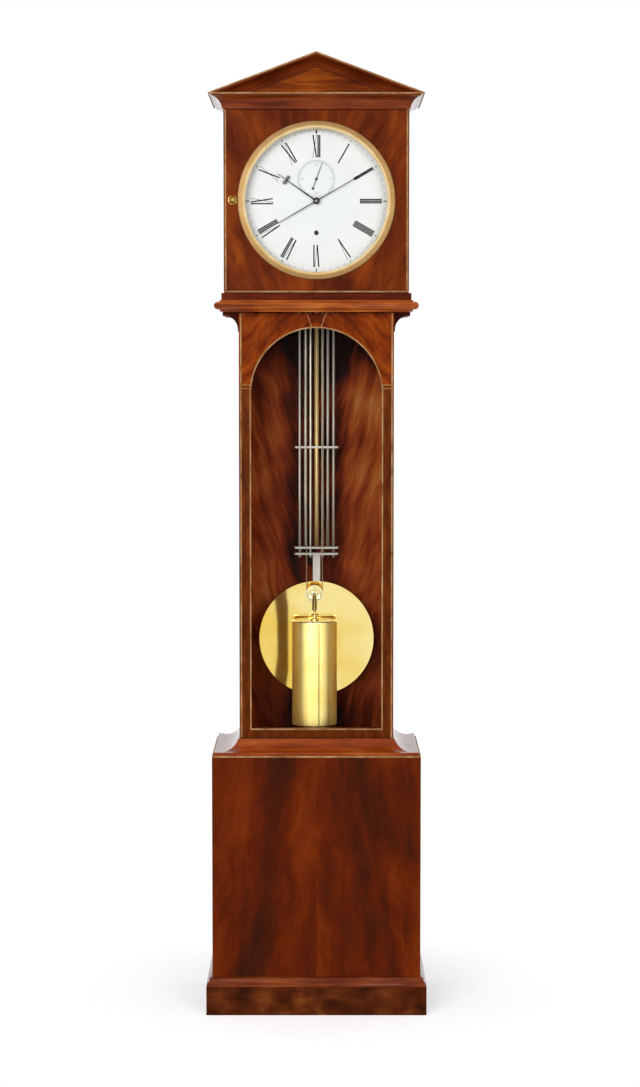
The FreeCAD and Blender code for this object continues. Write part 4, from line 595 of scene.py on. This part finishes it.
def numeralStrokes(letters, look):
    foot, head, thick, thin = look["numeralFoot"], look["numeralHead"], look["thick"], look["thin"]
    widths = {"I": thick, "V": look["wideV"], "X": look["wideX"]}
    total = sum(widths[c] for c in letters) + look["gap"] * (len(letters) - 1)
    left = -total / 2
    strokes = []
    for letter in letters:
        right = left + widths[letter]
        middle = (left + right) / 2
        if letter == "I":
            strokes.append(bar(middle, foot, middle, head, thick))
            ends = [(middle, foot), (middle, head)]
        if letter == "V":
            strokes.append(bar(left + thick / 2, head, middle, foot, thick))
            strokes.append(bar(right - thin / 2, head, middle, foot, thin))
            ends = [(left + thick / 2, head), (right, head)]
        if letter == "X":
            strokes.append(bar(left + thick / 2, head, right - thick / 2, foot, thick))
            strokes.append(bar(right - thin, head, left + thin, foot, thin))
            ends = [(left + thick / 2, head), (right - thin, head),
                    (right - thick / 2, foot), (left + thin, foot)]
        for u, v in ends:
            inward = look["serif"] if v == foot else -look["serif"]
            half = thick / 2 + look["serifOver"]
            low, high = min(v, v + inward), max(v, v + inward)
            strokes.append([(u - half, low), (u + half, low), (u + half, high), (u - half, high)])
        left = right + look["gap"]
    return strokes


def aroundDial(degrees, centre):
    return Matrix.Translation(centre) @ Matrix.Rotation(math.radians(degrees), 4, "Y")


def closeMesh(work, name):
    bmesh.ops.recalc_face_normals(work, faces=work.faces)
    mesh = bpy.data.meshes.new(name)
    work.to_mesh(mesh)
    work.free()
    return mesh


work = bmesh.new()
for hour, letters in enumerate(dialLook["hours"].split()):
    for corners in numeralStrokes(letters, dialLook):
        stroke(work, corners, aroundDial(30 * hour, dialLook["centre"]))
seatPiece(closeMesh(work, "dialNumerals"), "dialNumerals", "case", dialInk)

# two thin rings of the seconds circle
secondsLook = {"centre": (0.0, inkFoot, secondsMiddle), "rings": [(0.0350, 0.0355), (0.0386, 0.0394)],
               "steps": 96}


def inkRing(work, centre, inner, outer, steps):
    spread = math.tan(math.pi / steps)
    near, far = inner * spread, outer * spread
    for step in range(steps):
        place = aroundDial(360 * step / steps, centre)
        stroke(work, [(-near, inner), (near, inner), (far, outer), (-far, outer)], place)


work = bmesh.new()
for inner, outer in secondsLook["rings"]:
    inkRing(work, secondsLook["centre"], inner, outer, secondsLook["steps"])
seatPiece(closeMesh(work, "secondsCircle"), "secondsCircle", "case", wornInk)


def plainMesh(holder):
    bpy.context.view_layer.update()
    return bpy.data.meshes.new_from_object(holder.evaluated_get(bpy.context.evaluated_depsgraph_get()))


# the four figures inside the seconds circle
figureLook = {"height": 0.0062, "deep": 0.00005, "radius": 0.0295,
              "figures": {"60": 0, "15": 90, "30": 180, "45": 270}}
for figure, degrees in figureLook["figures"].items():
    script = bpy.data.curves.new("secondsFigure" + figure, "FONT")
    script.body, script.size, script.extrude = figure, figureLook["height"], figureLook["deep"]
    script.align_x, script.align_y = "CENTER", "CENTER"
    writing = newObject("secondsFigure" + figure, script)
    mesh = plainMesh(writing)
    bpy.data.objects.remove(writing)
    angle, reach = math.radians(degrees), figureLook["radius"]
    spot = Vector((reach * math.sin(angle), inkFoot - figureLook["deep"],
                   secondsMiddle + reach * math.cos(angle)))
    mesh.transform(Matrix.Translation(spot) @ Matrix.Rotation(math.pi / 2, 4, "X"))
    seatPiece(mesh, "secondsFigure" + figure, "case", wornInk)


def newTree(name, wanted):
    tree = bpy.data.node_groups.new(name, "GeometryNodeTree")
    sockets = {}
    for label, kind in wanted.items():
        socket = tree.interface.new_socket(label, in_out="INPUT", socket_type="NodeSocket" + kind)
        sockets[label] = socket.identifier
    tree.interface.new_socket("Geometry", in_out="OUTPUT", socket_type="NodeSocketGeometry")
    return tree, sockets, addNode(tree, "NodeGroupInput").outputs


def grownMesh(name, tree, sockets, look, points=()):
    seed = bpy.data.meshes.new(name + "Carrier")
    seed.from_pydata(points, [], [])
    carrier = newObject(name + "Carrier", seed)
    rule = carrier.modifiers.new(name, "NODES")
    rule.node_group = tree
    for label, value in look.items():
        rule[sockets[label]] = value
    mesh = plainMesh(carrier)
    carrier.modifiers.remove(rule)
    bpy.data.objects.remove(carrier)
    return mesh


# ring of equal marks, every fifth or so longer and wider
markTree, markSockets, given = newTree("dialMarks", {
    "Count": "Int", "Radius": "Float", "Length": "Float", "Width": "Float", "Depth": "Float", "Every": "Int",
    "Longer": "Float", "Wider": "Float", "Centre": "Vector", "Ink": "Material"})
points = addNode(markTree, "GeometryNodePoints", {"Count": given["Count"]}).outputs[0]
number = addNode(markTree, "GeometryNodeInputIndex").outputs[0]
step = addNode(markTree, "ShaderNodeMath", {0: math.tau, 1: given["Count"]}, operation="DIVIDE").outputs[0]
turn = addNode(markTree, "ShaderNodeMath", {0: number, 1: step}, operation="MULTIPLY").outputs[0]
rotation = addNode(markTree, "ShaderNodeCombineXYZ", {"Y": turn}).outputs[0]
size = addNode(markTree, "ShaderNodeCombineXYZ", {0: given["Width"], 1: given["Depth"],
                                                  2: given["Length"]}).outputs[0]
mark = addNode(markTree, "GeometryNodeMeshCube", {"Size": size}).outputs["Mesh"]
reach = addNode(markTree, "ShaderNodeCombineXYZ", {"Z": given["Radius"]}).outputs[0]
shortMark = addNode(markTree, "GeometryNodeTransform", {"Geometry": mark, "Translation": reach}).outputs[0]
stretch = addNode(markTree, "ShaderNodeCombineXYZ", {0: given["Wider"], 1: 1.0,
                                                     2: given["Longer"]}).outputs[0]
longMark = addNode(markTree, "GeometryNodeTransform", {"Geometry": mark, "Scale": stretch}).outputs[0]
longMark = addNode(markTree, "GeometryNodeTransform", {"Geometry": longMark,
                                                       "Translation": reach}).outputs[0]
rest = addNode(markTree, "ShaderNodeMath", {0: number, 1: given["Every"]}, operation="MODULO").outputs[0]
isLong = addNode(markTree, "FunctionNodeCompare", {0: rest, 1: 0.5}, data_type="FLOAT",
                 operation="LESS_THAN").outputs[0]
isShort = addNode(markTree, "FunctionNodeBooleanMath", {0: isLong}, operation="NOT").outputs[0]
joined = addNode(markTree, "GeometryNodeJoinGeometry")
for chosen, shape in ((isShort, shortMark), (isLong, longMark)):
    marks = addNode(markTree, "GeometryNodeInstanceOnPoints", {"Points": points, "Selection": chosen,
                                                               "Instance": shape, "Rotation": rotation})
    markTree.links.new(marks.outputs[0], joined.inputs[0])
real = addNode(markTree, "GeometryNodeRealizeInstances", {"Geometry": joined.outputs[0]}).outputs[0]
placed = addNode(markTree, "GeometryNodeTransform", {"Geometry": real,
                                                     "Translation": given["Centre"]}).outputs[0]
inked = addNode(markTree, "GeometryNodeSetMaterial", {"Geometry": placed,
                                                      "Material": given["Ink"]}).outputs[0]
addNode(markTree, "NodeGroupOutput", {0: inked})

markMiddle = inkFoot - 0.00008  # a mark's depth lies half to each side of this
minuteLook = {"Count": 60, "Radius": 0.1442, "Length": 0.0016, "Width": 0.0014, "Depth": 0.00015, "Every": 5,
              "Longer": 1.8, "Wider": 1.6, "Centre": (0.0, markMiddle, dialMiddle), "Ink": dialInk}
quarterLook = {"Count": 4, "Radius": 0.1442, "Length": 0.0070, "Width": 0.0021, "Depth": 0.00016, "Every": 9,
               "Longer": 1.0, "Wider": 1.6, "Centre": (0.0, markMiddle, dialMiddle), "Ink": dialInk}
tickLook = {"Count": 60, "Radius": 0.03715, "Length": 0.0028, "Width": 0.0005, "Depth": 0.00015, "Every": 5,
            "Longer": 1.5, "Wider": 1.6, "Centre": (0.0, markMiddle, secondsMiddle), "Ink": wornInk}
for name, look in (("minuteMarks", minuteLook), ("quarterMarks", quarterLook), ("secondsMarks", tickLook)):
    seatPiece(grownMesh(name, markTree, markSockets, look), name, "case")
print("dial printed")


# gridiron: a ball nut on each end of the bridges and of the steel rods
nutLook = {"Radius": 0.0031, "Segments": 14, "Rings": 8, "Metal": stonedSteel}
nutPlaces = {"y": jointAt["pendulum_swing"][1], "bridgeEnd": 0.046,
             "bridges": (1.702, 1.6885, 1.2, 0.98, 0.9665),
             "rods": (-0.037, -0.013, 0.013, 0.037), "rodFoot": 0.9602}
nutSpots = [(side * nutPlaces["bridgeEnd"], nutPlaces["y"], z)
            for z in nutPlaces["bridges"] for side in (-1, 1)]
nutSpots += [(x, nutPlaces["y"], nutPlaces["rodFoot"]) for x in nutPlaces["rods"]]
nutTree, nutSockets, given = newTree("ballNuts", {
    "Geometry": "Geometry", "Radius": "Float", "Segments": "Int", "Rings": "Int", "Metal": "Material"})
ball = addNode(nutTree, "GeometryNodeMeshUVSphere", {
    "Segments": given["Segments"], "Rings": given["Rings"], "Radius": given["Radius"]}).outputs["Mesh"]
turned = addNode(nutTree, "GeometryNodeSetShadeSmooth", {"Geometry": ball}).outputs[0]
nuts = addNode(nutTree, "GeometryNodeInstanceOnPoints", {"Points": given["Geometry"],
                                                         "Instance": turned}).outputs[0]
real = addNode(nutTree, "GeometryNodeRealizeInstances", {"Geometry": nuts}).outputs[0]
steeled = addNode(nutTree, "GeometryNodeSetMaterial", {"Geometry": real,
                                                       "Material": given["Metal"]}).outputs[0]
addNode(nutTree, "NodeGroupOutput", {0: steeled})
seatPiece(grownMesh("nuts", nutTree, nutSockets, nutLook, nutSpots), "gridironBallNuts", "pendulum")
print("ball nuts set on the gridiron")


# weight line: two strands of gut laid up, from drum to pulley
pulleyRadius = 0.017  # to the middle of the line in the groove
pulleyX, pulleyY, pulleyZ = jointAt["pulley_turn"]
lineLook = {"runs": (pulleyX - pulleyRadius, pulleyX + pulleyRadius), "y": pulleyY, "low": pulleyZ,
            "high": jointAt["drum_turn"][2], "strand": 0.00055, "lay": 0.00045, "pitch": 0.008,
            "sides": 6, "perTurn": 8, "loopSteps": 60}


def layStrands(work, path, count, look):
    # path gives (point, across, other, length so far) for a share of the way; two strands wind about it
    sides = look["sides"]
    for start in (0.0, math.pi):
        rings = []
        for i in range(count + 1):
            point, across, other, soFar = path(i / count)
            angle = start + math.tau * soFar / look["pitch"]
            middle = point + look["lay"] * (math.cos(angle) * across + math.sin(angle) * other)
            ring = []
            for s in range(sides):
                a = math.tau * s / sides
                rim = look["strand"] * (math.cos(a) * across + math.sin(a) * other)
                ring.append(work.verts.new(middle + rim))
            rings.append(ring)
        for low, high in zip(rings, rings[1:]):
            for s in range(sides):
                work.faces.new((low[s], low[(s + 1) % sides], high[(s + 1) % sides], high[s]))
        work.faces.new(rings[0][::-1])
        work.faces.new(rings[-1])


length = lineLook["high"] - lineLook["low"]


def straightRun(x, share):
    point = Vector((x, lineLook["y"], lineLook["low"] + share * length))
    return point, Vector((1, 0, 0)), Vector((0, 1, 0)), share * length


work = bmesh.new()
runSteps = int(length / lineLook["pitch"] * lineLook["perTurn"])
for x in lineLook["runs"]:
    layStrands(work, lambda share: straightRun(x, share), runSteps, lineLook)
mesh = closeMesh(work, "weightLineGut")
mesh.shade_smooth()
gut = seatPiece(mesh, "weightLineGut", "case", gutLine)
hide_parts("weight_line")
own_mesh(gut)  # the weight rises 0.6 m


def underPulley(share):
    angle = math.pi + share * math.pi
    out = Vector((math.cos(angle), 0, math.sin(angle)))
    point = Vector(jointAt["pulley_turn"]) + pulleyRadius * out
    return point, out, Vector((0, 1, 0)), share * math.pi * pulleyRadius


work = bmesh.new()
layStrands(work, underPulley, lineLook["loopSteps"], lineLook)
mesh = closeMesh(work, "weightLineTurn")
mesh.shade_smooth()
turnPiece = seatPiece(mesh, "weightLineTurn", "weight", gutLine)
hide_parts("line_pulley_loop")
print("weight line laid up")


# studio: paper floor, white all round, two softboxes
studio = {"floor": 14.0, "floorGlow": 0.49, "floorNear": 0.22, "floorFade": 0.62, "ambient": 0.36,
          "aim": (0, 0, 1.1)}
lamps = {"keySoftbox": {"place": (-1.7, -4.4, 2.1), "size": (2.4, 1.8), "power": 114.0},
         "fillSoftbox": {"place": (1.9, -4.4, 2.0), "size": (1.8, 1.8), "power": 57.0}}


def mattSheet(name, look):
    material, tree, shader, place = newMaterial(name)
    fibre = addNode(tree, "ShaderNodeTexNoise", {"Vector": place,
                                                 "Scale": 1000 / look["fibreMm"]}).outputs["Fac"]
    colour = addNode(tree, "ShaderNodeValToRGB", {"Fac": fibre}, stops=look["stops"]).outputs["Color"]
    tree.links.new(colour, shader.inputs["Base Color"])
    setShader(shader, Roughness=look["rough"], Specular_IOR_Level=0.0)
    return material, tree, shader, place


def studioSheet(name, corners, material):
    mesh = bpy.data.meshes.new(name)
    mesh.from_pydata(corners, [], [(0, 1, 2, 3)])
    mesh.materials.append(material)
    return newObject(name, mesh)


def shownTo(tree, kinds):
    # 1 for the rays that see the backdrop, 0 for those that only light the clock
    rays = addNode(tree, "ShaderNodeLightPath").outputs
    shown = rays[kinds[0]]
    for kind in kinds[1:]:
        shown = addNode(tree, "ShaderNodeMath", {0: shown, 1: rays[kind]}, operation="MAXIMUM").outputs[0]
    return shown


# seamless paper, matt: white with a soft shadow, fading out round the clock
paper, tree, shader, place = mattSheet("paperFloorMatt", {
    "stops": tones("#eeeeee", "#f3f3f3"), "fibreMm": 25, "rough": 0.9})
seen = shownTo(tree, ["Is Camera Ray", "Is Glossy Ray"])
glow = addNode(tree, "ShaderNodeMath", {0: seen, 1: studio["floorGlow"]}, operation="MULTIPLY").outputs[0]
tree.links.new(glow, shader.inputs["Emission Strength"])
setShader(shader, Emission_Color=(1, 1, 1, 1))
away = addNode(tree, "ShaderNodeVectorMath", {0: place}, operation="LENGTH").outputs["Value"]
gone = addNode(tree, "ShaderNodeMapRange", {"Value": away, "From Min": studio["floorNear"],
                                            "From Max": studio["floorFade"]},
               interpolation_type="SMOOTHSTEP").outputs[0]
bare = addNode(tree, "ShaderNodeBsdfTransparent").outputs[0]
ground = addNode(tree, "ShaderNodeMixShader", {0: gone, 1: shader.outputs[0], 2: bare}).outputs[0]
tree.links.new(ground, tree.nodes["Material Output"].inputs["Surface"])
half = studio["floor"]
corners = [(-half, -half, 0), (half, -half, 0), (half, half, 0), (-half, half, 0)]
floor = studioSheet("studioFloor", corners, paper)

world = bpy.data.worlds.new("studioWhite")
scene.world = world
world.use_nodes = True
tree = world.node_tree
seen = shownTo(tree, ["Is Camera Ray", "Is Glossy Ray", "Is Transmission Ray"])
strength = addNode(tree, "ShaderNodeMapRange", {"Value": seen, "To Min": studio["ambient"], "To Max": 1.0})
tree.links.new(strength.outputs[0], tree.nodes["Background"].inputs["Strength"])
tree.nodes["Background"].inputs["Color"].default_value = (1, 1, 1, 1)

for name, look in lamps.items():
    lamp = bpy.data.lights.new(name, "AREA")
    lamp.shape = "RECTANGLE"
    lamp.size, lamp.size_y = look["size"]
    lamp.energy = look["power"]
    holder = newObject(name, lamp)
    holder.location = look["place"]
    toClock = Vector(studio["aim"]) - Vector(look["place"])
    holder.rotation_euler = toClock.to_track_quat("-Z", "Y").to_euler()

# narrow brown curtain before the clock, mirrored in the brass only
curtain = {"left": -0.276, "right": -0.201, "y": -3.0, "foot": 0.02, "head": 1.3}
# brown wool felt: dull and even
cloth = mattSheet("woolCurtainBrown", {
    "stops": tones("#a88266", "#b89276"), "fibreMm": 5, "rough": 0.95})[0]
edges = [(curtain["left"], curtain["foot"]), (curtain["right"], curtain["foot"]),
         (curtain["right"], curtain["head"]), (curtain["left"], curtain["head"])]
drape = studioSheet("studioCurtain", [(x, curtain["y"], z) for x, z in edges], cloth)
drape.visible_camera = drape.visible_diffuse = drape.visible_shadow = False

photoView = {"place": (0.0076, -5.146, 1.371), "down": 4.18, "lens": 79.25, "sensor": 36.0}
camera = bpy.data.cameras.new("photoCamera")
camera.lens, camera.sensor_width = photoView["lens"], photoView["sensor"]
eye = newObject("photoCamera", camera)
eye.location = photoView["place"]
eye.rotation_euler = (math.radians(90 - photoView["down"]), 0, 0)
scene.camera = eye
print("studio lit")
